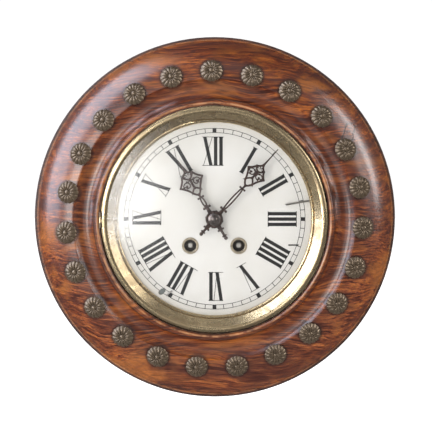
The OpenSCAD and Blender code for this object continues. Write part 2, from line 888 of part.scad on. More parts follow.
// One half of a hand's pierced head: two small cells on the centre line and a wide one beside
module head_half(foot, side, knot, waist, shoulder, neck, corner, curl_at) {
  rib = 1.5;
  bent([0, foot], side, -0.5, rib);
  bent(side, [0, knot], -0.5, rib);
  bar([0, knot], [0, waist], rib + 0.2);
  bent([0, waist], shoulder, -0.5, rib);
  bent(shoulder, [0, neck], 0.5, rib);
  bent(side, corner, 0.7, rib);
  bent(corner, shoulder, 0.7, rib);
  // spikes where the bars meet
  cut([side + [-0.6, -0.9], side + [2.2, -2.2], side + [0.7, 0.5]]);
  cut([side + [-0.3, 0.9], side + [1.6, 1.6], side + [0.5, -0.5]]);
  cut([corner + [-1.2, -1.2], corner + [1.3, -0.1], corner + [-1.2, 1.1]]);
  // scroll ends inside the wide cell
  bent(corner + [-1.4, -1.5], curl_at, -1.1, rib * 0.8);
  dot(curl_at, 1.15);
  bent([0.4, waist - 0.4], [shoulder[0] * 0.66, waist - 0.6], -0.6, rib * 0.8);
  dot([shoulder[0] * 0.66, waist - 0.6], 1.1);
  dot(shoulder, 0.9);
  dot(side, 0.8);
}

module head(foot, side, knot, waist, shoulder, neck, corner, curl_at) {
  head_half(foot, side, knot, waist, shoulder, neck, corner, curl_at);
  mirror([1, 0]) head_half(foot, side, knot, waist, shoulder, neck, corner, curl_at);
  dot([0, foot], 1.2);
  dot([0, knot], 1.1);
  dot([0, waist], 1.1);
  dot([0, neck], 1.4);
}

// Boss, shank, crossbar, needle and tail of a hand
module hand_outline(boss_r, bar_at, foot, neck, length, tail) {
  needle = 0.8;
  shank = boss_r + 6.6;
  cylinder(h = hand_t, r = boss_r);
  cut([[-3, 0], [-1.6, shank], [1.6, shank], [3, 0]]);
  bar([-2.8, shank - 0.6], [2.8, shank - 0.6], 1.5);
  for (x = [-3.1, 3.1]) dot([x, shank - 0.6], 1.25);
  dot([0, shank + 1], 1.3);
  for (s = [-1, 1]) {
    bent([s * 0.7, shank], [s * 0.6, bar_at + 0.3], -s * 1, 1.5);
    dot([s * 2.8, bar_at], 1);
  }
  bar([-2.8, bar_at], [2.8, bar_at], 1.3);
  cut([[-1.3, bar_at], [-1, foot], [1, foot], [1.3, bar_at]]);
  cut([[-needle - 0.4, neck], [-needle, neck + 6], [-0.45, length], [0.45, length],
       [needle, neck + 6], [needle + 0.4, neck]]);
  // stepped tail with a round finial
  cut([[-3.2, 0], [-2, -boss_r - 4], [2, -boss_r - 4], [3.2, 0]]);
  cut([[-1.5, -boss_r - 3], [-1.1, -tail + 2], [1.1, -tail + 2], [1.5, -boss_r - 3]]);
  bar([-3.1, -boss_r - 4], [3.1, -boss_r - 4], 1.4);
  bar([-2.3, -tail + 4.8], [2.3, -tail + 4.8], 1.2);
  dot([0, -tail + 1.9], 1.9);
}

module minute_outline() {
  hand_outline(minute_boss_r, 43.3, 47.8, 76, minute_len, 22.1);
  head(47.8, [4.6, 53.2], 58.4, 66.8, [5, 71.2], 76, [10.7, 64.4], [5.2, 60.6]);
}

module hour_outline() {
  hand_outline(hour_boss_r, 26.8, 30.2, 58.4, hour_len, 24.8);
  head(30.2, [4.5, 34.8], 38.6, 48.5, [6.1, 54.2], 58.4, [13.3, 45.3], [6.7, 42.6]);
}

module minute_hand() {
  color([0.16, 0.13, 0.12])
  facing()
  rotate([0, 0, -minute_at])
    translate([0, 0, minute_hand_z])
      difference() {
        minute_outline();
        translate([0, 0, -1]) cylinder(h = hand_t + 2, r = cannon_r + snug);
      }
}

module hour_hand() {
  color([0.16, 0.13, 0.12])
  facing()
  rotate([0, 0, -hour_at])
    translate([0, 0, hour_hand_z])
      difference() {
        hour_outline();
        translate([0, 0, -1]) cylinder(h = hand_t + 2, r = hour_pipe_r + snug);
      }
}

collet_r = 6.8;
module hand_collet() {
  color([0.2, 0.17, 0.15])
  facing()
  difference() {
    translate([0, 0, minute_hand_z + hand_t])
      rotate_extrude()
        polygon([
          [0, 0], [collet_r, 0], [collet_r, 0.6], [collet_r - 0.4, 1.3], [collet_r - 1.3, 1.9],
          [collet_r - 2.6, 2.3], [collet_r - 3.2, 2.4], [collet_r - 3.5, 3.1],
          [collet_r - 4.3, 3.8], [collet_r - 5.4, 4.1], [0, 4.2]
        ]);
    translate([0, 0, minute_hand_z]) cylinder(h = cannon_end - minute_hand_z + 0.05,
                                              r = cannon_r + snug);
  }
}

// Motion work in front of the front plate
cannon_z = front_out + 1;
minute_wheel_z = front_out + 1.5;
hour_wheel_z = front_out + 5.5;
lift_disc_z = front_out + 3.4;
module cannon_pinion() {
  color([0.68, 0.55, 0.3])
  facing()
  difference() {
    union() {
      pinion(cannon_teeth, motion_m, cannon_z, lift_disc_z, gap_at(90, cannon_teeth));
      shaft(lift_disc_z, lift_disc_z + 0.8, 6);
      shaft(lift_disc_z + 0.8, cannon_end, cannon_r);
      for (a = [0, 180])
        seat(polar(5, a), lift_disc_z + 0.7) cylinder(h = 0.95, r = 0.5);
    }
    shaft(cannon_z - 1, cannon_end - 0.6, centre_arbor_r + run);
  }
}

module hour_wheel() {
  color([0.68, 0.55, 0.3])
  facing()
  union() {
    translate([0, 0, hour_wheel_z])
      wheel(hour_teeth, hour_m, 1.4, tooth_at(90), 4, hour_pipe_r + 1, hour_pipe_r + 0.3);
    difference() {
      union() {
        shaft(hour_wheel_z - 0.1, hour_pipe_end, hour_pipe_r);
        shaft(hour_wheel_z + 1.4, hour_wheel_z + 2.4, hour_pipe_r + 0.9);
      }
      shaft(hour_wheel_z - 1, hour_pipe_end + 1, cannon_r + run);
    }
  }
}

module minute_wheel() {
  color([0.68, 0.55, 0.3])
  facing()
  seat(minute_post) {
    translate([0, 0, minute_wheel_z])
      wheel(minute_teeth, motion_m, 1.4, tooth_at(-90), 4, 2.6, 1.9);
    difference() {
      union() {
        shaft(minute_wheel_z, hour_wheel_z - 0.6, 1.7);
        pinion(minute_pinion, hour_m, hour_wheel_z - 0.6, hour_wheel_z + 2,
               gap_at(-90, minute_pinion));
      }
      shaft(minute_wheel_z - 1, hour_wheel_z + 3, minute_post_r + run);
    }
  }
}
minute_post_r = 0.9;

// Movement plates
module plate_outline() {
  polygon([
    [-plate_x, -plate_y + 6], [-plate_x + 6, -plate_y], [plate_x - 6, -plate_y],
    [plate_x, -plate_y + 6], [plate_x, plate_y - 6], [plate_x - 6, plate_y],
    [-plate_x + 6, plate_y], [-plate_x, plate_y - 6]
  ]);
}

thin_pivots = [
  inter_at, third_at, escape_at, second_at, pin_at, lock_at, warn_at, fly_at, anchor_at,
  count_lever_at
];

module pillar_spots() {
  for (sx = [-1, 1])
    for (sy = [-1, 1])
      translate([sx * pillar_x, sy * pillar_y, 0]) children();
}

module spacer_spots() {
  for (sx = [-1, 1])
    for (sy = [-1, 1])
      translate([sx * spacer_x, sy * bar_y, 0]) children();
}

module plate_holes() {
  for (at = thin_pivots) seat(at, -1) cylinder(h = plate_t + 2, r = pivot_r + run);
  seat(hammer_at, -1) cylinder(h = plate_t + 2, r = hammer_pivot_r + run);
  pillar_spots() translate([0, 0, -1]) cylinder(h = plate_t + 2, r = pillar_end_r);
}

module front_plate() {
  color([0.7, 0.57, 0.32])
  facing()
  union() {
    translate([0, 0, front_in])
      difference() {
        linear_extrude(plate_t) plate_outline();
        plate_holes();
        seat(centre_at, -1) cylinder(h = plate_t + 2, r = centre_arbor_r + run);
        for (at = [time_at, strike_at])
          seat(at, -1) cylinder(h = plate_t + 2, r = winding_arbor_r + run);
        spacer_spots() translate([0, 0, -1]) cylinder(h = plate_t + 2, r = spacer_screw_r);
      }
    // posts for the minute wheel, the clicks and the lifting lever
    seat(minute_post, front_out - 0.1) cylinder(h = 8.2, r = minute_post_r);
    for (at = [time_at, strike_at])
      seat(at + click_off, front_out - 0.1) cylinder(h = 3.2, r = post_r);
    seat(lift_at, front_out - 0.1) cylinder(h = 6, r = post_r);
  }
}

module back_plate() {
  color([0.7, 0.57, 0.32])
  facing()
  translate([0, 0, plate_back])
    difference() {
      linear_extrude(plate_t) plate_outline();
      plate_holes();
      seat(centre_at, -1) cylinder(h = plate_t + 2, r = pivot_r + run);
      for (at = [time_at, strike_at])
        seat(at, -1) cylinder(h = plate_t + 2, r = winding_pivot_r + run);
    }
}

module pillars() {
  color([0.7, 0.57, 0.32])
  facing()
  pillar_spots()
    rotate_extrude()
      polygon([
        [0, plate_back], [pillar_end_r, plate_back], [pillar_end_r, plate_in],
        [pillar_r + 0.6, plate_in], [pillar_r + 0.6, plate_in + 3], [pillar_r - 0.8, plate_in + 5],
        [pillar_r - 0.4, (plate_in + front_in) / 2], [pillar_r - 0.8, front_in - 5],
        [pillar_r + 0.6, front_in - 3], [pillar_r + 0.6, front_in], [pillar_end_r, front_in],
        [pillar_end_r, front_out + 3], [0, front_out + 3]
      ]);
}

module pillar_nuts() {
  color([0.5, 0.5, 0.5])
  facing()
  pillar_spots()
    translate([0, 0, front_out])
      difference() {
        cylinder(h = 2.4, r = 4.4, $fn = 6);
        translate([0, 0, -1]) cylinder(h = 5, r = pillar_end_r);
      }
}

// Two steel bars carry the movement on the back of the ring
module mounting_bars() {
  color([0.4, 0.4, 0.4])
  facing()
  union() {
    for (sy = [-1, 1])
      difference() {
        translate([-bar_x, sy * bar_y - bar_h / 2, frame_back - bar_t])
          cube([2 * bar_x, bar_h, bar_t]);
        for (sx = [-1, 1]) {
          seat([sx * bar_screw_x, sy * bar_y], frame_back - bar_t - 1)
            cylinder(h = bar_t + 2, r = screw_r + 0.05);
          seat([sx * spacer_x, sy * bar_y], frame_back - bar_t - 1)
            cylinder(h = bar_t + 2, r = spacer_screw_r);
        }
      }
    spacer_spots() {
      difference() {
        shaft(frame_back, front_in, spacer_r);
        shaft(frame_back - 1, front_in + 1, spacer_screw_r);
      }
      shaft(frame_back - bar_t - 1.6, frame_back - bar_t, 3);
      shaft(frame_back - bar_t, front_out, spacer_screw_r);
    }
  }
}

// Spring barrels: a drum with its great wheel, cap and mainspring
great_z = plate_in + 3.6;
great_t = 2.4;
drum_z = great_z + great_t;
drum_end = drum_z + 20;
drum_wall = 1.2;
hub_r = 6;
spring_turns = 6;
spring_w = 0.45;
spring_in = hub_r + slack + spring_w / 2;
spring_out = barrel_r - drum_wall - slack - spring_w / 2;
function spring_edge(side) = [
  for (i = [0:16 * spring_turns])
    polar(spring_in + i * (spring_out - spring_in) / (16 * spring_turns) + side * spring_w / 2,
          i * 22.5)
];

module barrel(phase) {
  translate([0, 0, great_z])
    wheel(great_teeth, great_m, great_t, phase, 6, 7, winding_arbor_r + 0.5);
  translate([0, 0, drum_z])
    difference() {
      cylinder(h = drum_end - drum_z, r = barrel_r);
      translate([0, 0, drum_wall]) cylinder(h = 30, r = barrel_r - drum_wall);
      translate([0, 0, -1]) cylinder(h = 5, r = winding_arbor_r + run);
    }
  translate([0, 0, drum_end])
    difference() {
      cylinder(h = drum_wall, r = barrel_r);
      translate([0, 0, -1]) cylinder(h = 5, r = winding_arbor_r + run);
    }
  translate([0, 0, drum_z + drum_wall + 0.4])
    linear_extrude(drum_end - drum_z - drum_wall - 0.8)
      polygon(concat(spring_edge(1), [
        for (p = [16 * spring_turns:-1:0]) spring_edge(-1)[p]
      ]));
}

module time_barrel() {
  color([0.72, 0.58, 0.3])
  facing()
  seat(time_at) barrel(tooth_at(heading(time_at, inter_at)));
}

module strike_barrel() {
  color([0.72, 0.58, 0.3])
  facing()
  seat(strike_at) barrel(tooth_at(heading(strike_at, second_at)));
}

// Winding arbor with its ratchet and a square for the key
square_end = dial_front - 4.5;
function ratchet_line() = [
  for (i = [0:ratchet_teeth - 1])
    each [polar(ratchet_r - 1.1, i * 360 / ratchet_teeth), polar(ratchet_r, i * 360 / ratchet_teeth)]
];
module winding_arbor() {
  shaft(plate_back - 1, plate_in + slack, winding_pivot_r);
  shaft(plate_in + slack, ratchet_z, winding_arbor_r);
  shaft(drum_z + drum_wall + slack, drum_end - slack, hub_r);
  translate([0, 0, ratchet_z]) linear_extrude(ratchet_t) polygon(ratchet_line());
  shaft(ratchet_z + ratchet_t, ratchet_z + ratchet_t + 1.2, winding_arbor_r);
  translate([-square_w / 2, -square_w / 2, ratchet_z + ratchet_t + 1.2])
    cube([square_w, square_w, square_end - ratchet_z - ratchet_t - 1.2]);
  shaft(square_end, square_end + 0.7, square_w / 2 - 0.3);
}

module time_winding_arbor() {
  color([0.6, 0.6, 0.6])
  facing()
  seat(time_at) winding_arbor();
}

module strike_winding_arbor() {
  color([0.6, 0.6, 0.6])
  facing()
  seat(strike_at) winding_arbor();
}

module click() {
  reach = norm(click_tip - click_off);
  translate([0, 0, ratchet_z + 0.1])
    linear_extrude(ratchet_t - 0.3)
      rotate([0, 0, heading(click_off, click_tip)])
        difference() {
          union() {
            circle(2.4);
            polygon([[-2, 0], [0, -1.4], [4, 0.1], [reach, 0], [reach - 0.4, 1.3], [4, 2.2], [0, 2.4]]);
          }
          circle(post_r + run);
        }
}

module time_click() {
  color([0.6, 0.6, 0.6])
  facing()
  seat(time_at + click_off) click();
}

module strike_click() {
  color([0.6, 0.6, 0.6])
  facing()
  seat(strike_at + click_off) click();
}

// Going train, from the barrel to the escape wheel
great_pinion_z = great_z - 1.2;
inter_z = plate_in + 30;
centre_z = plate_in + 20;
third_z = plate_in + 14;
escape_z = plate_in + 6;
wheel_t = 1.6;

module intermediate_wheel() {
  color([0.72, 0.58, 0.3])
  facing()
  seat(inter_at) {
    pinion_arbor(great_pinion, great_m, great_pinion_z, drum_z + 1.5,
                 gap_at(heading(inter_at, time_at), great_pinion));
    translate([0, 0, inter_z])
      wheel(inter_teeth, second_m, wheel_t, tooth_at(heading(inter_at, centre_at)), 5, 3,
            arbor_r + 0.1);
  }
}

module centre_wheel() {
  color([0.72, 0.58, 0.3])
  facing()
  union() {
    shaft(plate_back, plate_in + slack, pivot_r);
    shaft(plate_in + slack, inter_z - 1, centre_arbor_r);
    pinion(centre_pinion, second_m, inter_z - 1, inter_z + 3,
           gap_at(heading(centre_at, inter_at), centre_pinion));
    shaft(inter_z + 3, dial_front + 9, centre_arbor_r);
    translate([0, 0, centre_z])
      wheel(centre_teeth, centre_m, wheel_t, tooth_at(heading(centre_at, third_at)), 5, 3,
            centre_arbor_r + 0.1);
  }
}

module third_wheel() {
  color([0.72, 0.58, 0.3])
  facing()
  seat(third_at) {
    pinion_arbor(third_pinion, centre_m, centre_z - 1.5, centre_z + 3.5,
                 gap_at(heading(third_at, centre_at), third_pinion));
    translate([0, 0, third_z])
      wheel(third_teeth, third_m, wheel_t, tooth_at(heading(third_at, escape_at)), 5, 3,
            arbor_r + 0.1);
  }
}

function escape_line() = [
  for (i = [0:escape_teeth - 1])
    let (p = 360 / escape_teeth, a = i * p)
    each [polar(escape_r - 2.2, a - 0.3 * p), polar(escape_r, a), polar(escape_r - 2.2, a + 0.12 * p)]
];
module escape_wheel() {
  color([0.72, 0.58, 0.3])
  facing()
  seat(escape_at) {
    pinion_arbor(escape_pinion, third_m, third_z - 2, third_z + 3.5,
                 gap_at(heading(escape_at, third_at), escape_pinion));
    translate([0, 0, escape_z])
      linear_extrude(wheel_t)
        difference() {
          polygon(escape_line());
          circle(r = arbor_r + 0.1, $fn = 8);
          for (i = [0:4])
            polygon(window_line(2.6, escape_r - 3.6, 18, 31, (i + 0.5) * 72));
        }
  }
}

// Anchor and crutch on one arbor
nose_r = escape_r + 1.2;
nose_a = 52;
module anchor() {
  color([0.6, 0.6, 0.6])
  facing()
  seat(anchor_at) {
    shaft(crutch_z - 0.4, plate_in + slack, pivot_r);
    shaft(plate_in + slack, front_in - slack, arbor_r);
    shaft(front_in - slack, front_out, pivot_r);
    down = escape_at[1] - anchor_at[1];
    nose = nose_r * [sin(nose_a), cos(nose_a)] + [0, down];
    translate([0, 0, escape_z - 0.4])
      linear_extrude(wheel_t + 0.8)
        difference() {
          union() {
            polygon([[-nose[0] - 1.6, nose[1] + 1.2], [-nose[0] + 0.2, nose[1]],
                     [-nose[0] + 1.6, nose[1] + 3],
                     [-2.4, -2.6], [2.4, -2.6], [nose[0] - 1.6, nose[1] + 3], [nose[0] - 0.2, nose[1]],
                     [nose[0] + 1.6, nose[1] + 1.2], [3, 2.6], [-3, 2.6]]);
          }
          circle(r = arbor_r + 0.05, $fn = 8);
        }
    // crutch with a fork round the pendulum rod
    difference() {
      union() {
        shaft(crutch_z, crutch_z + 2, 2.2);
        translate([-1, -34, crutch_z + 0.2]) cube([2, 34, 1.6]);
      }
      shaft(crutch_z - 1, crutch_z + 3, pivot_r + 0.01);
    }
    for (s = [-1, 1])
      translate([s * (pend_rod_r + 0.6) - 0.5, -34, pendulum_z - 3])
        cube([1, 3, crutch_z + 0.2 - pendulum_z + 3]);
    translate([-2.3, -34, crutch_z + 0.2]) cube([4.6, 3, 1.6]);
  }
}

module suspension_cock() {
  color([0.7, 0.57, 0.32])
  facing()
  seat(anchor_at) {
    translate([-9, 6.6, plate_back - 2.4]) cube([18, 9, 2.4]);
    translate([-5, 6.6, pendulum_z - 4.7]) cube([10, 6, plate_back - 2.4 - pendulum_z + 4.7]);
    for (z = [pendulum_z - 4.7, pendulum_z + 2.7])
      translate([-3.5, -3, z]) cube([7, 9.6, 2]);
    shaft(pendulum_z - 4.7, pendulum_z + 4.7, post_r - 0.3);
  }
}

module pendulum_rod() {
  color([0.62, 0.6, 0.55])
  facing()
  seat(anchor_at) {
    difference() {
      translate([-3, -3.4, pendulum_z - 2.3]) cube([6, 6.8, 4.6]);
      shaft(pendulum_z - 4, pendulum_z + 4, post_r - 0.3 + run);
    }
    translate([-2.5, -13.5, pendulum_z - 0.15]) cube([5, 10.2, 0.3]);
    translate([-2, -17.4, pendulum_z - 1.8]) cube([4, 4, 3.6]);
    translate([0, -17, pendulum_z])
      rotate([90, 0, 0]) cylinder(h = pendulum_len + bob_r - 17 + 9, r = pend_rod_r);
  }
}

module pendulum_bob() {
  color([0.68, 0.55, 0.3])
  facing()
  translate([0, bob_at, pendulum_z])
    difference() {
      lens = (pow(bob_r, 2) + pow(bob_t / 2, 2)) / bob_t;
      intersection() {
        translate([0, 0, bob_t / 2 - lens]) sphere(lens, $fn = ring_fn);
        translate([0, 0, lens - bob_t / 2]) sphere(lens, $fn = ring_fn);
        translate([0, 0, -bob_t]) cylinder(h = 2 * bob_t, r = bob_r - 0.8);
      }
      rotate([90, 0, 0]) translate([0, 0, -bob_r - 1]) cylinder(h = 2 * bob_r + 2,
                                                                r = pend_rod_r + snug);
    }
}

module rating_nut() {
  color([0.68, 0.55, 0.3])
  facing()
  translate([0, bob_at - bob_r + 0.6, pendulum_z])
    rotate([90, 0, 0])
      difference() {
        union() {
          cylinder(h = 3.4, r = 4, $fn = 12);
          cylinder(h = 5, r = 2.4);
        }
        translate([0, 0, -1]) cylinder(h = 8, r = pend_rod_r + snug);
      }
}

// Strike train
strike_z = plate_in + 34;
pin_z = plate_in + 22;
lock_z = plate_in + 16;
warn_z = plate_in + 10;
count_z = plate_back - 2.8;
count_t = 2;
count_r = 18;
function blows(n) = n * (n + 1) / 2 + n;

module count_wheel() {
  color([0.72, 0.58, 0.3])
  facing()
  seat(second_at) {
    pinion_arbor(great_pinion, great_m, great_pinion_z, drum_z + 1.5,
                 gap_at(heading(second_at, strike_at), great_pinion));
    shaft(count_z, plate_back + 0.01, pivot_r);
    translate([0, 0, strike_z])
      wheel(second_teeth, second_m, wheel_t, tooth_at(heading(second_at, pin_at)), 5, 3,
            arbor_r + 0.1);
    translate([0, 0, count_z])
      difference() {
        cylinder(h = count_t, r = count_r);
        translate([0, 0, -1]) cylinder(h = 6, r = pivot_r, $fn = 8);
        for (h = [1:12])
          rotate([0, 0, blows(h) * 4])
            translate([count_r - 2.2, -1.6, -1]) cube([4, 3.2, 5]);
        for (i = [0:3])
          translate([0, 0, -1])
            linear_extrude(5) polygon(window_line(4, count_r - 5, 36, 40, i * 90 + 45));
      }
  }
}

module pin_wheel() {
  color([0.72, 0.58, 0.3])
  facing()
  seat(pin_at) {
    pinion_arbor(pin_pinion, second_m, strike_z - 1.6, strike_z + 3,
                 gap_at(heading(pin_at, second_at), pin_pinion));
    translate([0, 0, pin_z]) {
      wheel(pin_teeth, pin_m, wheel_t, tooth_at(heading(pin_at, lock_at)), 4, 3, arbor_r + 0.1);
      for (i = [0:9])
        seat(polar(pin_m * pin_teeth / 2 - 1.3, i * 36), wheel_t) cylinder(h = 3.4, r = 0.5, $fn = 8);
    }
  }
}

module locking_wheel() {
  color([0.72, 0.58, 0.3])
  facing()
  seat(lock_at) {
    pinion_arbor(lock_pinion, pin_m, pin_z - 1.5, pin_z + 3,
                 gap_at(heading(lock_at, pin_at), lock_pinion));
    translate([0, 0, lock_z]) {
      wheel(lock_teeth, lock_m, wheel_t - 0.2, tooth_at(heading(lock_at, warn_at)), 4, 2.4,
            arbor_r + 0.1);
      seat(polar(lock_m * lock_teeth / 2 - 1.2, -30), wheel_t - 0.2) cylinder(h = 2.4, r = 0.5, $fn = 8);
    }
  }
}

module warning_wheel() {
  color([0.72, 0.58, 0.3])
  facing()
  seat(warn_at) {
    pinion_arbor(warn_pinion, lock_m, lock_z - 1.5, lock_z + 3,
                 gap_at(heading(warn_at, lock_at), warn_pinion));
    translate([0, 0, warn_z]) {
      wheel(warn_teeth, warn_m, wheel_t - 0.2, tooth_at(heading(warn_at, fly_at)), 4, 2.2,
            arbor_r + 0.1);
      seat(polar(warn_m * warn_teeth / 2 - 1.2, 0), wheel_t - 0.2) cylinder(h = 2, r = 0.4, $fn = 8);
    }
  }
}

module fly() {
  color([0.72, 0.58, 0.3])
  facing()
  seat(fly_at) {
    pinion_arbor(fly_pinion, warn_m, warn_z - 1.5, warn_z + 3,
                 gap_at(heading(fly_at, warn_at), fly_pinion));
    for (s = [-1, 1])
      translate([s > 0 ? arbor_r : -6.4, -0.3, plate_in + 18]) cube([6.4 - arbor_r, 0.6, 16]);
  }
}

// Hammer, gong and its block
gong_out = -90;
function gong_point(t) =
  let (a = gong_out - t * 360, r = gong_r - gong_pitch * t)
  [gong_at[0] + r * cos(a), gong_at[1] + r * sin(a)];
gong_rings = 24;
gong_path = concat(
  [[block_x + 7, gong_at[1] - gong_r], [block_x - 0.2, gong_at[1] - gong_r]],
  [for (i = [0:gong_rings * gong_turns]) gong_point(i / gong_rings)]
);
gong_sides = 6;
function path_dir(p, i) =
  let (a = p[max(i - 1, 0)], b = p[min(i + 1, len(p) - 1)])
  (b - a) / norm(b - a);
function tube_ring(p, i, r) =
  let (d = path_dir(p, i))
  [for (k = [0:gong_sides - 1])
    let (a = k * 360 / gong_sides)
    [p[i][0] - d[1] * r * cos(a), p[i][1] + d[0] * r * cos(a), gong_z + r * sin(a)]];
function tube_faces(k, n) = concat(
  [for (j = [0:k - 2])
    for (i = [0:n - 1])
      let (a = j * n + i, b = j * n + (i + 1) % n)
      each [[a, a + n, b], [b, a + n, b + n]]],
  [for (i = [1:n - 2]) [0, i, i + 1]],
  [for (i = [1:n - 2]) [(k - 1) * n, (k - 1) * n + i + 1, (k - 1) * n + i]]
);

gong_tube = [for (i = [0:len(gong_path) - 1]) each tube_ring(gong_path, i, gong_wire_r)];

// Least gap between points of the gong's tube that lie two thirds of a turn or more apart
gong_gap = min([
  for (i = [0:len(gong_path) - 1])
    for (j = [i + 16:len(gong_path) - 1])
      if (norm(gong_path[i] - gong_path[j]) < 1.5 * gong_pitch)
        for (k = [0:gong_sides - 1])
          for (l = [0:gong_sides - 1])
            norm(gong_tube[i * gong_sides + k] - gong_tube[j * gong_sides + l])
]);
echo(gong_gap = gong_gap);

module gong() {
  color([0.35, 0.36, 0.42])
  facing()
  polyhedron(gong_tube, tube_faces(len(gong_path), gong_sides));
}

module gong_block() {
  color([0.28, 0.28, 0.28])
  facing()
  difference() {
    union() {
      translate([block_x, -case_in, block_back])
        cube([block_w, case_in + gong_at[1] - gong_r + gong_wire_r + 1.4, block_front - block_back]);
      translate([block_x - 13, -case_in, block_back])
        cube([block_w + 26, 3, block_front - block_back]);
    }
    translate([block_x - 1, gong_at[1] - gong_r, gong_z])
      rotate([0, 90, 0]) cylinder(h = 9, r = gong_wire_r + 0.05);
    for (x = [block_x - 7, block_x + block_w + 7])
      translate([x, -case_in + 6, (block_back + block_front) / 2])
        rotate([90, 0, 0]) cylinder(h = 9, r = screw_r + 0.05);
  }
}

module hammer() {
  color([0.55, 0.53, 0.5])
  facing()
  union() {
    seat(hammer_at) {
      shaft(gong_z - 2, plate_in + slack, hammer_pivot_r);
      shaft(plate_in + slack, front_in - slack, hammer_pivot_r + 0.4);
      shaft(front_in - slack, front_out, hammer_pivot_r);
      shaft(gong_z - 2, gong_z + 3, 2.4);
      tail = norm(pin_at - hammer_at) - (pin_m * pin_teeth / 2 - 1.3) - 1.1;
      rotate([0, 0, heading(hammer_at, pin_at)])
        translate([0, -1, pin_z + wheel_t + 0.6]) cube([tail, 2, 2]);
    }
    head_x = gong_at[0] - gong_r + gong_pitch / 4 - gong_wire_r - 1.5;
    rod([hammer_at[0], hammer_at[1], gong_z], [head_x - 6.5, gong_at[1], gong_z], 1.2);
    translate([head_x - 11.5, gong_at[1], gong_z])
      rotate([0, 90, 0]) cylinder(h = 11.5, r = hammer_head_r);
  }
}

// Levers of the strike
module lifting_lever() {
  color([0.6, 0.6, 0.6])
  facing()
  seat(lift_at, lift_disc_z + 0.7)
    linear_extrude(1)
      rotate([0, 0, heading(lift_at, centre_at)])
        difference() {
          union() {
            circle(3);
            polygon([[-10, -1.2], [0, -1.6], [lift_reach - 1, -0.8], [lift_reach, 0],
                     [lift_reach - 1, 0.8], [0, 1.6], [-10, 1.2]]);
          }
          circle(post_r + run);
        }
}

module count_lever() {
  color([0.6, 0.6, 0.6])
  facing()
  seat(count_lever_at) {
    shaft(count_z - 0.6, plate_in + slack, pivot_r);
    shaft(plate_in + slack, front_in - slack, arbor_r);
    shaft(front_in - slack, front_out, pivot_r);
    blade = norm(second_at - count_lever_at) - count_r - 0.6;
    rotate([0, 0, heading(count_lever_at, second_at)])
      translate([0, -0.9, count_z + 0.2]) cube([blade, 1.8, 1.6]);
    shaft(count_z - 0.2, count_z + count_t + 0.2, 2);
    arm = norm(lock_at - count_lever_at) - (lock_m * lock_teeth / 2 - 1.2) - 1.2;
    rotate([0, 0, heading(count_lever_at, lock_at)])
      translate([0, -0.9, lock_z + 2]) cube([arm, 1.8, 1.6]);
  }
}

wood_frame();
rosettes();
rosette_nails();
box_top();
box_bottom();
box_left();
box_right();
corner_blocks();
wood_screws();
hanger_plate();
rear_door();
door_hinge_leaves();
door_hinge_flaps();
door_catch();
dial();
dial_nail();
winding_hole_collars();
sight_ring();
bezel();
glass();
glass_ring();
bezel_hinge();
catch_lever();
catch_pivot();
minute_hand();
hour_hand();
hand_collet();
cannon_pinion();
hour_wheel();
minute_wheel();
front_plate();
back_plate();
pillars();
pillar_nuts();
mounting_bars();
time_barrel();
time_winding_arbor();
intermediate_wheel();
centre_wheel();
third_wheel();
escape_wheel();
strike_barrel();
strike_winding_arbor();
count_wheel();
pin_wheel();
locking_wheel();
warning_wheel();
fly();
anchor();
suspension_cock();
pendulum_rod();
pendulum_bob();
rating_nut();
hammer();
gong();
gong_block();
time_click();
strike_click();
lifting_lever();
count_lever();
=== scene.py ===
import math

import bpy
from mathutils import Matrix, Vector


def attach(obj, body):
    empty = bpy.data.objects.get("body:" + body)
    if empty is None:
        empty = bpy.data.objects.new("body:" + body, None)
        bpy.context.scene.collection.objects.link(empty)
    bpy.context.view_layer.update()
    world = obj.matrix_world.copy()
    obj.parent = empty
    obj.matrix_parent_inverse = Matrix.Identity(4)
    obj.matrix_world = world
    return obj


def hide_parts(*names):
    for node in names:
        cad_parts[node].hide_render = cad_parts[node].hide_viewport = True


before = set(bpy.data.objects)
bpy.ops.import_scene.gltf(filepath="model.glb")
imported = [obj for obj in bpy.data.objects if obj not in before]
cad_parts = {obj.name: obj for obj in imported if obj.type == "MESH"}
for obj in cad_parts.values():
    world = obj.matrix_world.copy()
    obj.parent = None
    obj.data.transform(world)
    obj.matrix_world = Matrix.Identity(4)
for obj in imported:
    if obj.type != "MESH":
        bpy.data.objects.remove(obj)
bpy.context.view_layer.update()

# The clock's own sizes in millimetres, from the dial's centre: x right, y up, z from the wall
DIAL_DROP = 128.0             # from the hanger's hole down to the dial's centre
DIAL_FRONT = 94.0
HAND_THICK = 1.2
MINUTE_FRONT = DIAL_FRONT + 9 + HAND_THICK
HOUR_FRONT = DIAL_FRONT + 5 + HAND_THICK
MINUTE_AT, HOUR_AT = 42.2, 328.2      # where the hands point, in degrees from twelve
WINDING_AT = (25.3, -28.0)
CHIP_AT = (-54.7, -75.9)

# The ring's crest lies between its hollow and its round, and the rosettes lie on the round
RING_BACK = 72.0
CREST_FRONT = 113.0
CREST_RADIUS = 147.0
ROUND_CURVE = 50.0
ROUND_MIDDLE = CREST_RADIUS - 8
ROUND_CENTRE = CREST_FRONT - ROUND_CURVE * math.cos(
    math.asin((CREST_RADIUS - ROUND_MIDDLE) / ROUND_CURVE))
ROSETTES = 23
ROSETTE_START = -1.0          # degrees from twelve
ROSETTE_CIRCLE = 153.5
ROSETTE_TILT = math.asin((ROSETTE_CIRCLE - ROUND_MIDDLE) / ROUND_CURVE)
ROSETTE_SEAT = ROUND_CENTRE + ROUND_CURVE * math.cos(ROSETTE_TILT)


def place(x, y, z):
    """A point of the clock, in metres in the frame's own axes."""
    return Vector((x / 1000, -z / 1000, (y - DIAL_DROP) / 1000))


def turned(x, y, angle):
    """A flat point turned clockwise round the dial's centre, by radians."""
    c, s = math.cos(angle), math.sin(angle)
    return x * c + y * s, -x * s + y * c


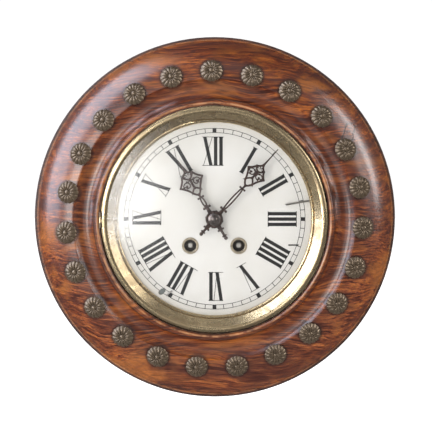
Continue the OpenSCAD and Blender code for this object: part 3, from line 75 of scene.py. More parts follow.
# Shader maths
class Wire:
    """A shader output that can be added, multiplied and so on."""

    def __init__(self, finish, socket):
        self.finish = finish
        self.socket = socket

    def maths(self, operation, *others):
        return self.finish.node("ShaderNodeMath", {"operation": operation}, [self, *others])

    def after(self, operation, first):
        return self.finish.node("ShaderNodeMath", {"operation": operation}, [first, self])

    def __add__(self, other):
        return self.maths("ADD", other)

    __radd__ = __add__

    def __sub__(self, other):
        return self.maths("SUBTRACT", other)

    def __rsub__(self, other):
        return self.after("SUBTRACT", other)

    def __mul__(self, other):
        return self.maths("MULTIPLY", other)

    __rmul__ = __mul__

    def __truediv__(self, other):
        return self.maths("DIVIDE", other)

    def __rtruediv__(self, other):
        return self.after("DIVIDE", other)

    def __pow__(self, other):
        return self.maths("POWER", other)

    def absolute(self):
        return self.maths("ABSOLUTE")

    def below(self, limit):
        return self.maths("LESS_THAN", limit)

    def step(self, low, high):
        """0 below low, 1 above high, smooth between."""
        return self.finish.node("ShaderNodeMapRange", {"interpolation_type": "SMOOTHSTEP"},
                                {"Value": self, "From Min": low, "From Max": high})

    def near(self, middle, full, gone):
        """1 up to full away from a middle value, 0 from gone away."""
        return 1 - (self - middle).absolute().step(full, gone)


class Finish:
    """The nodes of a material, or of the light all round."""

    def __init__(self, name, world=False):
        self.owner = (bpy.data.worlds if world else bpy.data.materials).new(name)
        self.end = "ShaderNodeOutputWorld" if world else "ShaderNodeOutputMaterial"
        self.owner.use_nodes = True
        self.tree = self.owner.node_tree
        self.tree.nodes.clear()
        self.made = {}

    def node(self, kind, settings=None, values=None, output=0):
        """Adds a node: its settings first, then the values or links of its sockets."""
        n = self.tree.nodes.new(kind)
        for key, value in (settings or {}).items():
            if key == "stops":
                ramp = n.color_ramp
                while len(ramp.elements) < len(value):
                    ramp.elements.new(0.5)
                for element, (at, colour) in zip(ramp.elements, value):
                    element.position = at
                    element.color = (*colour, 1)
            else:
                setattr(n, key, value)
        pairs = enumerate(values) if isinstance(values, list) else (values or {}).items()
        for key, value in pairs:
            if isinstance(value, Wire):
                self.tree.links.new(value.socket, n.inputs[key])
            else:
                n.inputs[key].default_value = value
        return Wire(self, n.outputs[output]) if n.outputs else None

    def point(self):
        """The surface point in metres, in the frame's axes."""
        if "point" not in self.made:
            self.made["point"] = self.node("ShaderNodeTexCoord", output="Object")
        return self.made["point"]

    def clock(self):
        """x, y and z of the surface point, in the clock's own millimetres."""
        if "clock" not in self.made:
            parts = self.node("ShaderNodeSeparateXYZ", None, [self.point()])
            across, depth, up = (Wire(self, s) for s in parts.socket.node.outputs)
            self.made["clock"] = across * 1000, up * 1000 + DIAL_DROP, depth * -1000
        return self.made["clock"]

    def radius(self):
        """Millimetres from the clock's axis."""
        x, y, _ = self.clock()
        return (x * x + y * y) ** 0.5

    def stretched(self, x, y, z, start=None):
        return self.node("ShaderNodeVectorMath", {"operation": "MULTIPLY"},
                         [start or self.point(), (x, y, z)])

    def moved(self, shift, start=None):
        return self.node("ShaderNodeVectorMath", {"operation": "ADD"},
                         [start or self.point(), shift])

    def noise(self, vector, detail, roughness, distortion=0.0, output="Fac"):
        return self.node("ShaderNodeTexNoise", None,
                         {"Vector": vector, "Scale": 1.0, "Detail": detail,
                          "Roughness": roughness, "Distortion": distortion}, output)

    def mottle(self, fineness, detail=3, roughness=0.6, distortion=0.0):
        """Noise that is as fine one way as another."""
        return self.noise(self.stretched(fineness, fineness, fineness),
                          detail, roughness, distortion)

    def wander(self, x, y, z, reach):
        """A vector whose parts wander between 0 and reach, in metres."""
        stray = self.noise(self.stretched(x, y, z), 2, 0.5, output="Color")
        return self.node("ShaderNodeVectorMath", {"operation": "SCALE"}, {0: stray, 3: reach})

    def ramp(self, value, stops):
        return self.node("ShaderNodeValToRGB", {"stops": stops}, [value])

    def mix(self, amount, a, b):
        """Colour a with an amount of colour b laid over it."""
        a, b = ((*c, 1) if isinstance(c, tuple) else c for c in (a, b))
        return self.node("ShaderNodeMix", {"data_type": "RGBA"}, {0: amount, 6: a, 7: b}, 2)

    def bump(self, height, strength, distance):
        return self.node("ShaderNodeBump", None,
                         {"Height": height, "Strength": strength, "Distance": distance})

    def close(self, shader):
        """Ends the nodes in a shader."""
        self.node(self.end, None, {"Surface": shader})
        return self.owner

    def surface(self, **values):
        """Ends them in a plain surface. Names are the shader's own, with _ for a space."""
        return self.close(self.node("ShaderNodeBsdfPrincipled", None,
                                    {k.replace("_", " "): v for k, v in values.items()}))


# Wood
WALNUT = [(0.12, (0.032, 0.0052, 0.0015)), (0.40, (0.084, 0.0147, 0.0022)),
          (0.62, (0.152, 0.0312, 0.0034)), (0.92, (0.295, 0.080, 0.0066))]
BURGUNDY = (0.040, 0.0078, 0.0040)
AMBER = (0.280, 0.084, 0.0070)
AMBER_SHIFT = (0.31, 0.12, 0.57)      # metres, so that amber and burgundy clouds differ
RING_LINE = (0.024, 0.0048, 0.0022)
PORE = (0.018, 0.0042, 0.0028)
# the dark of the painted shade under the lip, round the rosettes and beside the inner bead
PAINTED_SHADE = (0.016, 0.006, 0.004)
# pale rubbed wood, which also stands in as a painted highlight on the bead and inside the lip
RUBBED_WOOD_AND_HIGHLIGHT = (0.38, 0.18, 0.07)
CRACK = (0.010, 0.005, 0.003)
RAW_BACK = (0.115, 0.056, 0.028)
CASE_TONES = [(0.25, (0.10, 0.048, 0.022)), (0.5, (0.19, 0.10, 0.048)),
              (0.75, (0.30, 0.17, 0.085))]
DUST = (0.30, 0.24, 0.18)

# Where finishes of the ring start and end, in millimetres: the raw back by z, painted shade under
# the lip and the lip's dull edge by radius, and a rosette's painted shadow by the distance from
# its middle
RAW_FADE = (RING_BACK + 0.5, RING_BACK + 2)
LIP_SHADE = (186.9, 188.6)
LIP_FADE = (188.2, 189.0)
HALO_FADE = (11.8, 14.6)
# Circles of painted shade on both sides of the inner bead: radius, full and last half-width, share
SHADE_CIRCLES = ((118.2, 0.3, 1.3, 0.4), (124.6, 0.3, 1.6, 0.6))
# Circles of wear and painted highlight on the bead and inside the lip: the same, with their
# patchiness before share
WEAR_AND_HIGHLIGHT_CIRCLES = ((120.6, 0.5, 1.5, 0.35, 0.6), (186.8, 0.3, 1.0, 0.3, 0.35))
# Cracks in the ring: start, end and width
CRACKS = (((138, 100), (130, 82), 0.9), ((146, 98), (142.5, 82), 0.9),
          ((-121, 106), (-112, 98), 0.7))


def grain(f, wildness=1.0, upright=False):
    """Wood's layers, strokes, pores and rings: long across the clock, or upwards if upright."""
    def fibre(x, depth, up, detail, roughness):
        ways = (up, depth, x) if upright else (x, depth, up)
        return f.noise(f.stretched(*ways, board), detail, roughness)

    wave = f.wander(9, 14, 14, 0.035 * wildness)
    curl = f.wander(30, 60, 60, 0.0035 * wildness)
    board = f.moved(curl, f.moved(wave))
    layers = fibre(3.5, 30, 80, 3, 0.6)
    strokes = fibre(11, 80, 520, 4, 0.78)
    pores = fibre(34, 180, 780, 3, 0.7)
    figure = fibre(2.2, 9, 28, 1, 0.4)
    rings = (figure * 170 + strokes * 5).maths("SINE").step(0.45, 0.95)
    return layers, strokes, pores, rings


def walnut_colour(f, layers, strokes, pores, rings):
    clouds = f.noise(f.stretched(13, 12, 30), 4, 0.62, 0.6)
    glow = f.noise(f.stretched(12, 12, 30, f.moved(AMBER_SHIFT)), 3, 0.6, 0.6)
    tone = (layers - 0.5) * 1.1 + (strokes - 0.5) * 2.4 + (pores - 0.5) * 2.6 + 0.465
    colour = f.ramp(tone, WALNUT)
    colour = f.mix(clouds.step(0.48, 0.66) * 0.55, colour, BURGUNDY)
    colour = f.mix(glow.step(0.53, 0.68) * 0.55, colour, AMBER)
    colour = f.mix(rings * 0.26, colour, RING_LINE)
    return f.mix(pores.step(0.54, 0.62) * 0.6, colour, PORE)


def rosette_shadow(f):
    """A painted shadow round each rosette: 1 close round its foot, fading to 0 further out."""
    x, y, _ = f.clock()
    radius = f.radius()
    pitch = 2 * math.pi / ROSETTES
    turn = (x.maths("ARCTAN2", y) - math.radians(ROSETTE_START)) / pitch
    aside = (turn - turn.maths("ROUND")) * pitch
    out = radius * aside.maths("COSINE") - ROSETTE_CIRCLE
    across = radius * aside.maths("SINE")
    return 1 - ((out * out + across * across) ** 0.5).step(*HALO_FADE)


def crack(f, start, end, width):
    """1 on a crooked crack between two points of the ring, else 0."""
    x, y, _ = f.clock()
    long = math.hypot(end[0] - start[0], end[1] - start[1])
    ux, uy = (end[0] - start[0]) / long, (end[1] - start[1]) / long
    dx, dy = x - start[0], y - start[1]
    along = dx * ux + dy * uy
    across = (dy * ux - dx * uy + (f.mottle(160) - 0.5) * 5).absolute()
    within = (along - long / 2).absolute().below(long / 2)
    return (1 - across.step(width * 0.4, width)) * within


def polished_ring():
    f = Finish("polished_walnut")
    radius = f.radius()
    layers, strokes, pores, rings = grain(f)
    worn = f.mottle(75, 4, 0.65)
    craze = f.mottle(340)
    back = 1 - f.clock()[2].step(*RAW_FADE)
    lip = radius.step(*LIP_FADE)
    split = sum(crack(f, *line) for line in CRACKS)
    # painted shade: darker under the outer lip, round each rosette and on both sides of the inner
    # bead
    painted_shade = radius.step(*LIP_SHADE) * 0.8 + rosette_shadow(f) * 0.62 * (1 - back)
    for at, full, gone, share in SHADE_CIRCLES:
        painted_shade = painted_shade + radius.near(at, full, gone) * share
    # wear, and a painted highlight, in patches on the inner bead and inside the outer lip
    wear_and_highlight = sum(radius.near(at, full, gone) * worn.step(patchy, 0.6) * share
               for at, full, gone, patchy, share in WEAR_AND_HIGHLIGHT_CIRCLES)
    colour = walnut_colour(f, layers, strokes, pores, rings)
    # over the walnut: painted shade, wear with a painted highlight, cracks and the raw back
    for share, over in ((painted_shade, PAINTED_SHADE), (wear_and_highlight, RUBBED_WOOD_AND_HIGHLIGHT), (split * 0.8, CRACK),
                        (back * 0.65, RAW_BACK)):
        colour = f.mix(share, colour, over)
    rough = 0.29 + strokes * 0.12 + craze.step(0.5, 0.8) * 0.14 + worn.step(0.55, 0.8) * 0.1
    relief = strokes * 0.6 + craze * 0.5 + pores * 0.5 - split * 2
    return f.surface(Base_Color=colour, Roughness=rough + lip * 0.4 + back * 0.25,
                     Normal=f.bump(relief, strength=0.35, distance=0.0006),
                     Coat_Weight=(1 - lip) * (1 - back) * 0.45, Coat_Roughness=0.22)


def case_wood(name, upright):
    f = Finish(name)
    layers, strokes, pores, _ = grain(f, 0.5, upright)
    colour = f.ramp(layers * 0.5 + strokes * 0.5, CASE_TONES)
    colour = f.mix(f.mottle(30, 4).step(0.45, 0.8) * 0.35, colour, DUST)
    return f.surface(Base_Color=colour, Roughness=0.55 + strokes * 0.15,
                     Normal=f.bump(strokes + pores * 0.4, strength=0.35, distance=0.0008))


# Metals: bright colour, tarnish, roughness, patches' fineness and share, and how bare it is
METALS = {
    "antique_bronze": ((0.125, 0.089, 0.057), (0.040, 0.028, 0.018), 0.25, 500, 0.6, 0.6),
    "bezel_brass": ((0.68, 0.535, 0.325), (0.34, 0.235, 0.13), 0.18, 45, 0.65, 0.96),
    "collar_brass": ((0.44, 0.375, 0.275), (0.18, 0.145, 0.10), 0.32, 400, 0.7, 0.6),
    "movement_brass": ((0.80, 0.60, 0.28), (0.45, 0.30, 0.12), 0.24, 60, 0.5, 1.0),
    "worked_steel": ((0.40, 0.39, 0.37), (0.17, 0.15, 0.13), 0.30, 90, 0.5, 1.0),
    "forged_iron": ((0.12, 0.11, 0.10), (0.06, 0.04, 0.03), 0.5, 80, 0.7, 1.0),
    "browned_steel": ((0.060, 0.036, 0.029), (0.026, 0.016, 0.013), 0.27, 350, 0.7, 0.6),
    "greyed_steel": ((0.098, 0.072, 0.064), (0.050, 0.037, 0.033), 0.27, 350, 0.7, 0.5),
    "polished_dark_steel": ((0.16, 0.135, 0.125), (0.045, 0.034, 0.032), 0.13, 200, 0.5, 0.75),
    "blue_gong_wire": ((0.16, 0.18, 0.27), (0.10, 0.09, 0.10), 0.22, 120, 0.5, 1.0),
}
OILY_STEEL = (0.062, 0.050, 0.041)
# bright steel on each square's end where the key rubs, partly a painted highlight, fading out from
# the square's axis
RUBBED_STEEL_HIGHLIGHT = (0.58, 0.55, 0.51)
RUBBED_HIGHLIGHT_FADE = (1.4, 3.6)              # millimetres from a winding square's axis


def old_metal(name, bright, tarnish, rough, patch, spotty, bare):
    """Metal with patches of tarnish, fine scratches and uneven polish."""
    f = Finish(name)
    fine = f.mottle(900, 2, 0.5)
    scratches = f.noise(f.stretched(2500, 60, 300), 2, 0.5)
    spread = f.mottle(patch, 5, 0.62, 0.4).step(0.38, 0.72) * spotty
    colour = f.mix(spread, bright, tarnish)
    colour = f.mix(fine.step(0.6, 0.8) * 0.25, colour, tuple(c * 0.55 for c in tarnish))
    return f.surface(Base_Color=colour, Metallic=bare,
                     Roughness=rough + spread * 0.22 + scratches * 0.08,
                     Normal=f.bump(scratches * 0.5 + fine * 0.3, strength=0.10, distance=0.0002))


def winding_square():
    """Oily steel, bright on the squares' ends: rubbed by the key, and partly a painted highlight.
    """
    f = Finish("key_square_steel")
    x, y, _ = f.clock()
    across, high = x.absolute() - WINDING_AT[0], y - WINDING_AT[1]
    uneven = f.mottle(300)
    away = (across * across + high * high) ** 0.5 + (uneven - 0.5) * 1.6
    # a bright spot round each square's axis: rubbed steel and partly a painted highlight
    colour = f.mix(1 - away.step(*RUBBED_HIGHLIGHT_FADE), OILY_STEEL, RUBBED_STEEL_HIGHLIGHT)
    return f.surface(Base_Color=colour, Metallic=0.4, Roughness=0.30 + uneven * 0.1,
                     Normal=f.bump(uneven, strength=0.1, distance=0.0002))


# Enamel, ink and glass
ENAMEL = [(0.3, (0.555, 0.532, 0.492)), (0.55, (0.587, 0.566, 0.531)),
          (0.75, (0.610, 0.592, 0.560))]
YELLOWED = (0.54, 0.475, 0.37)
YELLOW_FADE = (88.0, 103.0)           # radii, towards the dial's edge
SPECK = (0.40, 0.33, 0.24)
BARED_GROUND = (0.120, 0.130, 0.127)
CHIP_DIRT = (0.060, 0.055, 0.050)
BLACK_INK = (0.012, 0.011, 0.011)
WORN_INK = (0.085, 0.08, 0.075)
CLEAR = (0.985, 0.985, 0.98, 1)
WHITE = (1, 1, 1, 1)
GLASS_BEND = 1.5                      # the glass's index of refraction


def chipped(f, colour):
    """Colour with the grey ground bared in the chip beside seven o'clock, and dirt on its edge."""
    x, y, _ = f.clock()
    aside, above = x - CHIP_AT[0], y - CHIP_AT[1]
    slant = aside * 0.45 - above
    away = (aside * aside * 0.75 + slant * slant) ** 0.5 + (f.mottle(420) - 0.5) * 3.2
    colour = f.mix(1 - away.step(2.6, 3.3), colour, BARED_GROUND)
    return f.mix(away.near(2.9, 0.1, 0.8) * 0.75, colour, CHIP_DIRT)


def enamel_dial():
    f = Finish("dial_enamel")
    clouds = f.mottle(22, 4, 0.55)
    specks = f.mottle(420, 2, 0.5)
    colour = f.ramp(clouds, ENAMEL)
    colour = f.mix(f.radius().step(*YELLOW_FADE) * 0.22, colour, YELLOWED)
    colour = f.mix(specks.step(0.70, 0.78) * 0.35, colour, SPECK)
    return f.surface(Base_Color=chipped(f, colour), Roughness=0.28 + clouds * 0.12,
                     Coat_Weight=0.3, Coat_Roughness=0.1)


def printed_ink():
    f = Finish("dial_ink")
    colour = f.mix(f.mottle(500).step(0.55, 0.85) * 0.45, BLACK_INK, WORN_INK)
    return f.surface(Base_Color=chipped(f, colour), Roughness=0.38)


def window_glass():
    f = Finish("window_glass")
    # seen from inside, the same share is mirrored as from outside
    inside = f.node("ShaderNodeNewGeometry", output="Backfacing")
    bend = GLASS_BEND - inside * (GLASS_BEND - 1 / GLASS_BEND)
    share = f.node("ShaderNodeFresnel", None, {"IOR": bend})
    clear = f.node("ShaderNodeBsdfTransparent", None, {"Color": CLEAR})
    smear = f.mottle(40).step(0.4, 0.9)
    shine = f.node("ShaderNodeBsdfGlossy", None,
                   {"Color": WHITE, "Roughness": 0.11 + smear * 0.06})
    return f.close(f.node("ShaderNodeMixShader", None, [share, clear, shine]))


# Finishes of the CAD pieces
METAL = {name: old_metal(name, *look) for name, look in METALS.items()}
INK = printed_ink()
WEARS = {
    polished_ring(): ["wood_frame"],
    case_wood("case_wood", False): ["box_top", "box_bottom", "corner_blocks"],
    case_wood("upright_case_wood", True): ["box_left", "box_right", "rear_door"],
    METAL["antique_bronze"]: ["rosette_nails", "bezel_hinge"],
    METAL["bezel_brass"]: ["sight_ring", "bezel", "glass_ring"],
    METAL["collar_brass"]: ["winding_hole_collars"],
    METAL["movement_brass"]: [
        "door_hinge_leaves", "door_hinge_flaps", "cannon_pinion", "hour_wheel", "minute_wheel",
        "front_plate", "back_plate", "pillars", "time_barrel", "intermediate_wheel",
        "centre_wheel", "third_wheel", "escape_wheel", "strike_barrel", "count_wheel",
        "pin_wheel", "locking_wheel", "warning_wheel", "fly", "suspension_cock",
        "pendulum_bob", "rating_nut"],
    METAL["worked_steel"]: [
        "wood_screws", "door_catch", "dial_nail", "catch_lever", "catch_pivot", "pillar_nuts",
        "anchor", "pendulum_rod", "hammer", "time_click", "strike_click", "lifting_lever",
        "count_lever"],
    winding_square(): ["time_winding_arbor", "strike_winding_arbor"],
    METAL["forged_iron"]: ["hanger_plate", "mounting_bars", "gong_block"],
    METAL["browned_steel"]: ["minute_hand"],
    METAL["greyed_steel"]: ["hour_hand"],
    METAL["polished_dark_steel"]: ["hand_collet"],
    METAL["blue_gong_wire"]: ["gong"],
    enamel_dial(): ["dial"],
    window_glass(): ["glass"],
}
for finish, names in WEARS.items():
    for name in names:
        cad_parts[name].data.materials.clear()
        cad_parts[name].data.materials.append(finish)


# Making pieces
def piece(name, points, faces, material, body, smooth=True):
    """A piece of points and faces that moves with a body."""
    mesh = bpy.data.meshes.new(name)
    mesh.from_pydata(points, [], faces)
    mesh.validate()
    mesh.update()
    if smooth:
        mesh.shade_smooth()
    made = bpy.data.objects.new(name, mesh)
    bpy.context.scene.collection.objects.link(made)
    mesh.materials.append(material)
    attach(made, body)
    return made


def round_rows(base, rows, count):
    """Faces between closed rows of points, each row with the same count."""
    faces = []
    for row in range(base, base + (rows - 1) * count, count):
        for i in range(count):
            k = (i + 1) % count
            faces.append((row + i, row + k, row + count + k, row + count + i))
    return faces


def cap(base, count, facing=1):
    """The face that closes a row of points, turned over if facing is -1."""
    return tuple(range(base, base + count))[::facing]


def capped_rows(base, rows, count):
    """Faces of a closed form: between its rows, and a cap at each end."""
    last = base + (rows - 1) * count
    return [*round_rows(base, rows, count), cap(base, count, -1), cap(last, count)]


# Rosettes: a boss in a hollow, then a dish with petals, drawn whole and pressed a little smaller
ROSETTE_RADIUS = 12.0
PRESSED_SIZE = 0.96
PETALS = 14
STEPS_PER_PETAL = 12
PETAL_TURN = 1.7              # radians from one rosette's petals to the next one's
BOSS, HOLLOW = 1.5, 2.3       # outer radii
BOSS_HEIGHT, DISH_HEIGHT, PETAL_HEIGHT = 3.45, 2.85, 1.45
DOME_RADII = (0.5, 1.0, 1.4, 1.6, 2.2, 2.6, 3.2, 4.0, 4.9, 5.9, 6.9, 7.9, 8.9, 9.8, 10.6, 11.2,
              11.7)
EDGE_HEIGHTS = (0.7, 0.08)    # of the turned-down edge
SCALLOPED_FROM = 9.0          # radius
SCALLOP_DEPTH = 0.75


def petal_across(angle):
    """0 on a petal's ridge, 1 in the gap between two petals."""
    turn = angle / (2 * math.pi) * PETALS
    return abs(turn - math.floor(turn) - 0.5) * 2


def rosette_height(radius, angle):
    """Height of a pressed rosette over its seat, in millimetres."""
    if radius < BOSS:
        return BOSS_HEIGHT - 0.35 * (radius / BOSS) ** 4
    if radius < HOLLOW:
        return DISH_HEIGHT
    out = (radius - HOLLOW) / (ROSETTE_RADIUS - HOLLOW)
    swell = 0.35 * math.sin(math.pi * min(1.0, out * 1.25))
    fall = 1.75 * max(0.0, (out - 0.5) / 0.5) ** 2
    ridge = math.sqrt(1 - (0.985 * petal_across(angle)) ** 2)
    petal = PETAL_HEIGHT * ridge * math.sin(math.pi * (0.04 + 0.88 * out) ** 0.75)
    return DISH_HEIGHT + swell - fall + petal - 0.35


def rosette_point(clock, turn, radius, angle, height):
    """A point of the rosette at a clock angle, its petals turned by some radians."""
    if radius > SCALLOPED_FROM:
        radius *= 1 - SCALLOP_DEPTH * petal_across(angle) ** 3 / ROSETTE_RADIUS
    radius *= PRESSED_SIZE
    out, side = radius * math.cos(angle + turn), radius * math.sin(angle + turn)
    c, s = math.cos(ROSETTE_TILT), math.sin(ROSETTE_TILT)
    x, y = turned(side, ROSETTE_CIRCLE + out * c + height * s, clock)
    return place(x, y, ROSETTE_SEAT - out * s + height * c)


def rosettes():
    """The pressed rosettes, petals and all, as one piece."""
    around = PETALS * STEPS_PER_PETAL
    angles = [2 * math.pi * k / around for k in range(around)]
    rows = [[(r, a, rosette_height(r, a)) for a in angles] for r in DOME_RADII]
    rows += [[(ROSETTE_RADIUS, a, height) for a in angles] for height in EDGE_HEIGHTS]
    points, faces = [], []
    for i in range(ROSETTES):
        clock = math.radians(ROSETTE_START + i * 360 / ROSETTES)
        faces += capped_rows(len(points), len(rows), around)
        points += [rosette_point(clock, i * PETAL_TURN, *spot) for row in rows for spot in row]
    made = piece("pressed_rosettes", points, faces, METAL["antique_bronze"], "case")
    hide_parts("rosettes")


rosettes()


# Dial print: strokes' widths, radii, and heights over the dial's front
THICK, HAIR = 3.6, 0.6
INNER, OUTER = 55.9, 85.6
SERIF = 1.0
TRACK = (90.1, 94.6)          # radii of the two minute circles
BLOCK = (90.3, 94.4)          # ends of the five-minute blocks between them
TRACK_HALF, MINUTE_HALF, BLOCK_HALF = 0.28, 0.34, 2.0
TRACK_STEPS = 240
SUNK, PRINTED, TRACK_PRINTED = -0.02, 0.06, 0.07
NUMERALS = ("XII", "I", "II", "III", "IIII", "V", "VI", "VII", "VIII", "IX", "X", "XI")
LETTER_STEP = {("X", "I"): 8.1, ("V", "I"): 7.4, ("I", "I"): 5.6, ("I", "V"): 7.4, ("I", "X"): 8.1}
LETTER_HALF = {"I": 2.6, "V": 5.6, "X": 5.9}
# Foot and top of a letter's strokes beside its middle, and how far the thin one's foot is raised
THICK_STROKE = {"I": (0, 0), "V": (1.0, -3.4), "X": (3.2, -3.2)}
THIN_STROKE = {"V": (1.2, 4.2, 0.4), "X": (-4.6, 4.6, 0)}
# The small stroke at four o'clock
FOUR_STROKE = ((77.2, -28.0), (88.0, -27.8), (88.0, -26.5), (77.2, -26.4))


def slab(points, faces, outline, angle=0.0):
    """Adds a thin flat printed shape, drawn upright and turned clockwise round the centre."""
    n = len(outline)
    area = sum(outline[i][0] * outline[(i + 1) % n][1] - outline[(i + 1) % n][0] * outline[i][1]
               for i in range(n))
    if area < 0:
        outline = outline[::-1]
    faces += capped_rows(len(points), 2, n)
    for height in (SUNK, PRINTED):
        points += [place(*turned(x, y, angle), DIAL_FRONT + height) for x, y in outline]


def box(left, right, low, high):
    return [(left, low), (right, low), (right, high), (left, high)]


def stroke(foot, top, width, low=INNER):
    """A straight stroke whose ends are cut level."""
    half = width / 2
    return [(foot - half, low), (foot + half, low), (top + half, OUTER), (top - half, OUTER)]


def numeral(text):
    """Strokes of a Roman numeral, upright, with its middle at x = 0."""
    spots = [0.0]
    for pair in zip(text, text[1:]):
        spots.append(spots[-1] + LETTER_STEP[pair])
    spots = [s - spots[-1] / 2 for s in spots]
    half = THICK / 2
    shapes = []
    for letter, x in zip(text, spots):
        foot, top = THICK_STROKE[letter]
        shapes.append(stroke(x + foot, x + top, THICK))
        if letter == "I":
            for y, s in ((INNER, SERIF), (OUTER, -SERIF)):
                shapes.append([(x - half - SERIF, y), (x + half + SERIF, y),
                               (x + half, y + s), (x - half, y + s)])
        else:
            foot, top, raised = THIN_STROKE[letter]
            shapes.append(stroke(x + foot, x + top, HAIR, INNER + raised))
    left = spots[0] - LETTER_HALF[text[0]]
    right = spots[-1] + LETTER_HALF[text[-1]]
    return shapes + [box(left, right, y - HAIR / 2, y + HAIR / 2) for y in (INNER, OUTER)]


def minute_circle(points, faces, radius):
    """Adds a thin printed circle."""
    base = len(points)
    inner, outer = radius - TRACK_HALF, radius + TRACK_HALF
    for r, height in ((inner, SUNK), (inner, TRACK_PRINTED), (outer, TRACK_PRINTED),
                      (outer, SUNK)):
        points += [place(*turned(0, r, 2 * math.pi * i / TRACK_STEPS), DIAL_FRONT + height)
                   for i in range(TRACK_STEPS)]
    faces += round_rows(base, 4, TRACK_STEPS)
    last = base + 3 * TRACK_STEPS
    for i in range(TRACK_STEPS):
        k = (i + 1) % TRACK_STEPS
        faces.append((last + i, last + k, base + k, base + i))


def dial_print():
    """Numerals, minute circles, minute strokes and five-minute blocks."""
    points, faces = [], []
    for hour, text in enumerate(NUMERALS):
        for shape in numeral(text):
            slab(points, faces, shape, math.radians(hour * 30))
    for minute in range(60):
        half, ends = (MINUTE_HALF, TRACK) if minute % 5 else (BLOCK_HALF, BLOCK)
        slab(points, faces, box(-half, half, *ends), math.radians(minute * 6))
    for radius in TRACK:
        minute_circle(points, faces, radius)
    slab(points, faces, FOUR_STROKE)
    piece("dial_print", points, faces, INK, "case", smooth=False)


dial_print()


# Relief of the pierced hands: heights over the hand's front
ROOT = -0.7                   # foot of a rib or bead, sunk in its hand
SHOULDER, RIB_TOP, BEAD_TOP = 0.1, 0.42, 0.75
# Across a rib, in shares of its width, with its height there
RIB_SECTION = ((-0.5, ROOT), (-0.5, SHOULDER), (-0.22, RIB_TOP), (0.22, RIB_TOP),
               (0.5, SHOULDER), (0.5, ROOT))
# Up a bead, in shares of its radius, with its height there
BEAD_ROWS = ((1, ROOT), (1, 0.1 * BEAD_TOP), (0.86, 0.5 * BEAD_TOP), (0.55, 0.85 * BEAD_TOP),
             (0.15, BEAD_TOP))
BEAD_STEPS = 14
BAR_STEPS = 8
SCROLL_STEPS = 24


def arc_between(a, b, sag):
    """Points of a bar from a to b, bent to its left."""
    dx, dy = b[0] - a[0], b[1] - a[1]
    line = []
    for i in range(BAR_STEPS + 1):
        t = i / BAR_STEPS
        bow = sag * 4 * t * (1 - t) / math.hypot(dx, dy)
        line.append((a[0] + dx * t - dy * bow, a[1] + dy * t + dx * bow))
    return line


def scroll(middle, size, start, turn):
    """Points of a scroll that runs round a cell and curls in to its middle."""
    line = []
    for i in range(SCROLL_STEPS + 1):
        t = i / SCROLL_STEPS
        a = math.radians(start + turn * t)
        r = size * (1 - max(0.0, t - 0.55) ** 1.3 * 1.75)
        line.append((middle[0] + r * math.cos(a), middle[1] + r * math.sin(a)))
    return line


class Relief:
    """Raised ribs and beads on a hand that points at a clock angle."""

    def __init__(self, angle, front):
        self.turn = math.radians(angle)
        self.front = front
        self.points = []
        self.faces = []

    def put(self, x, y, height):
        self.points.append(place(*turned(x, y, self.turn), self.front + height))

    def rib(self, line, width):
        """A rib with a bevelled back along a line of points."""
        self.faces += capped_rows(len(self.points), len(line), len(RIB_SECTION))
        # from the last point to the first, so that its faces look outward
        for i in reversed(range(len(line))):
            x, y = line[i]
            a, b = line[max(i - 1, 0)], line[min(i + 1, len(line) - 1)]
            long = math.hypot(b[0] - a[0], b[1] - a[1])
            nx, ny = -(b[1] - a[1]) / long, (b[0] - a[0]) / long
            for side, height in RIB_SECTION:
                self.put(x + nx * width * side, y + ny * width * side, height)

    def bead(self, x, y, radius):
        """A low round bead."""
        self.faces += capped_rows(len(self.points), len(BEAD_ROWS), BEAD_STEPS)
        for share, height in BEAD_ROWS:
            for k in range(BEAD_STEPS):
                a = 2 * math.pi * k / BEAD_STEPS
                self.put(x + radius * share * math.cos(a), y + radius * share * math.sin(a),
                         height)

    def head(self, foot, side, knot, waist, shoulder, neck, corner):
        """The pierced head: the bars, scrolls and beads of both halves."""
        bars = (((0, foot), side, -0.5, 2.1), (side, (0, knot), -0.5, 1.9),
                ((0, waist), shoulder, -0.5, 1.9), (shoulder, (0, neck), 0.5, 2.0),
                (side, corner, 0.7, 2.1), (corner, shoulder, 0.7, 2.1))
        cell = ((side[0] + corner[0] + shoulder[0]) / 4.1, (knot + waist) / 2 + 0.3)
        small_cell = (shoulder[0] * 0.42, (shoulder[1] + waist) / 2 + 2.3)
        ribs = [(arc_between(a, b, sag), width) for a, b, sag, width in bars]
        ribs += [(scroll(cell, min(cell[0] - 1.2, 3.7), start=-75, turn=400), 1.25),
                 (scroll(small_cell, 1.5, start=200, turn=-300), 0.95)]
        for s in (1, -1):
            for line, width in ribs:
                self.rib([(s * x, y) for x, y in line], width)
            for (x, y), radius in (((cell[0] + 0.2, cell[1]), 1.15), (side, 1.3),
                                   (shoulder, 1.3), (corner, 1.1)):
                self.bead(s * x, y, radius)
        self.rib([(0, knot), (0, waist)], 2.3)
        for y, radius in ((foot, 1.7), (knot, 1.6), (waist, 1.7), (neck, 1.6)):
            self.bead(0, y, radius)

    def shank(self, boss, bar_at, foot, tail):
        """The pierced shank, the boss round the arbor and the tail."""
        low = boss + 6.6
        for s in (1, -1):
            self.rib(arc_between((s * 0.9, low), (s * 0.75, bar_at), -s * 0.85), 1.6)
            for x, y, radius in ((3.1, low - 0.6, 1.4), (2.8, bar_at, 1.2),
                                 (2.6, -boss - 4, 1.2), (1.7, -tail + 4.8, 1.0)):
                self.bead(s * x, y, radius)
        for a, b, width in (((0, boss - 1), (0, low), 3.0), ((0, bar_at - 1), (0, foot), 2.0),
                            ((0, -boss + 1), (0, -tail + 2), 2.6),
                            ((-2.8, low - 0.6), (2.8, low - 0.6), 1.7),
                            ((-2.4, bar_at), (2.4, bar_at), 1.5)):
            self.rib([a, b], width)
        self.bead(0, -tail + 1.9, 2.0)
        for quarter in range(4):
            a = math.radians(45 + 90 * quarter)
            self.bead(boss * 0.93 * math.cos(a), boss * 0.93 * math.sin(a), 1.6)

    def finish(self, name, material, body):
        piece(name, self.points, self.faces, material, body)


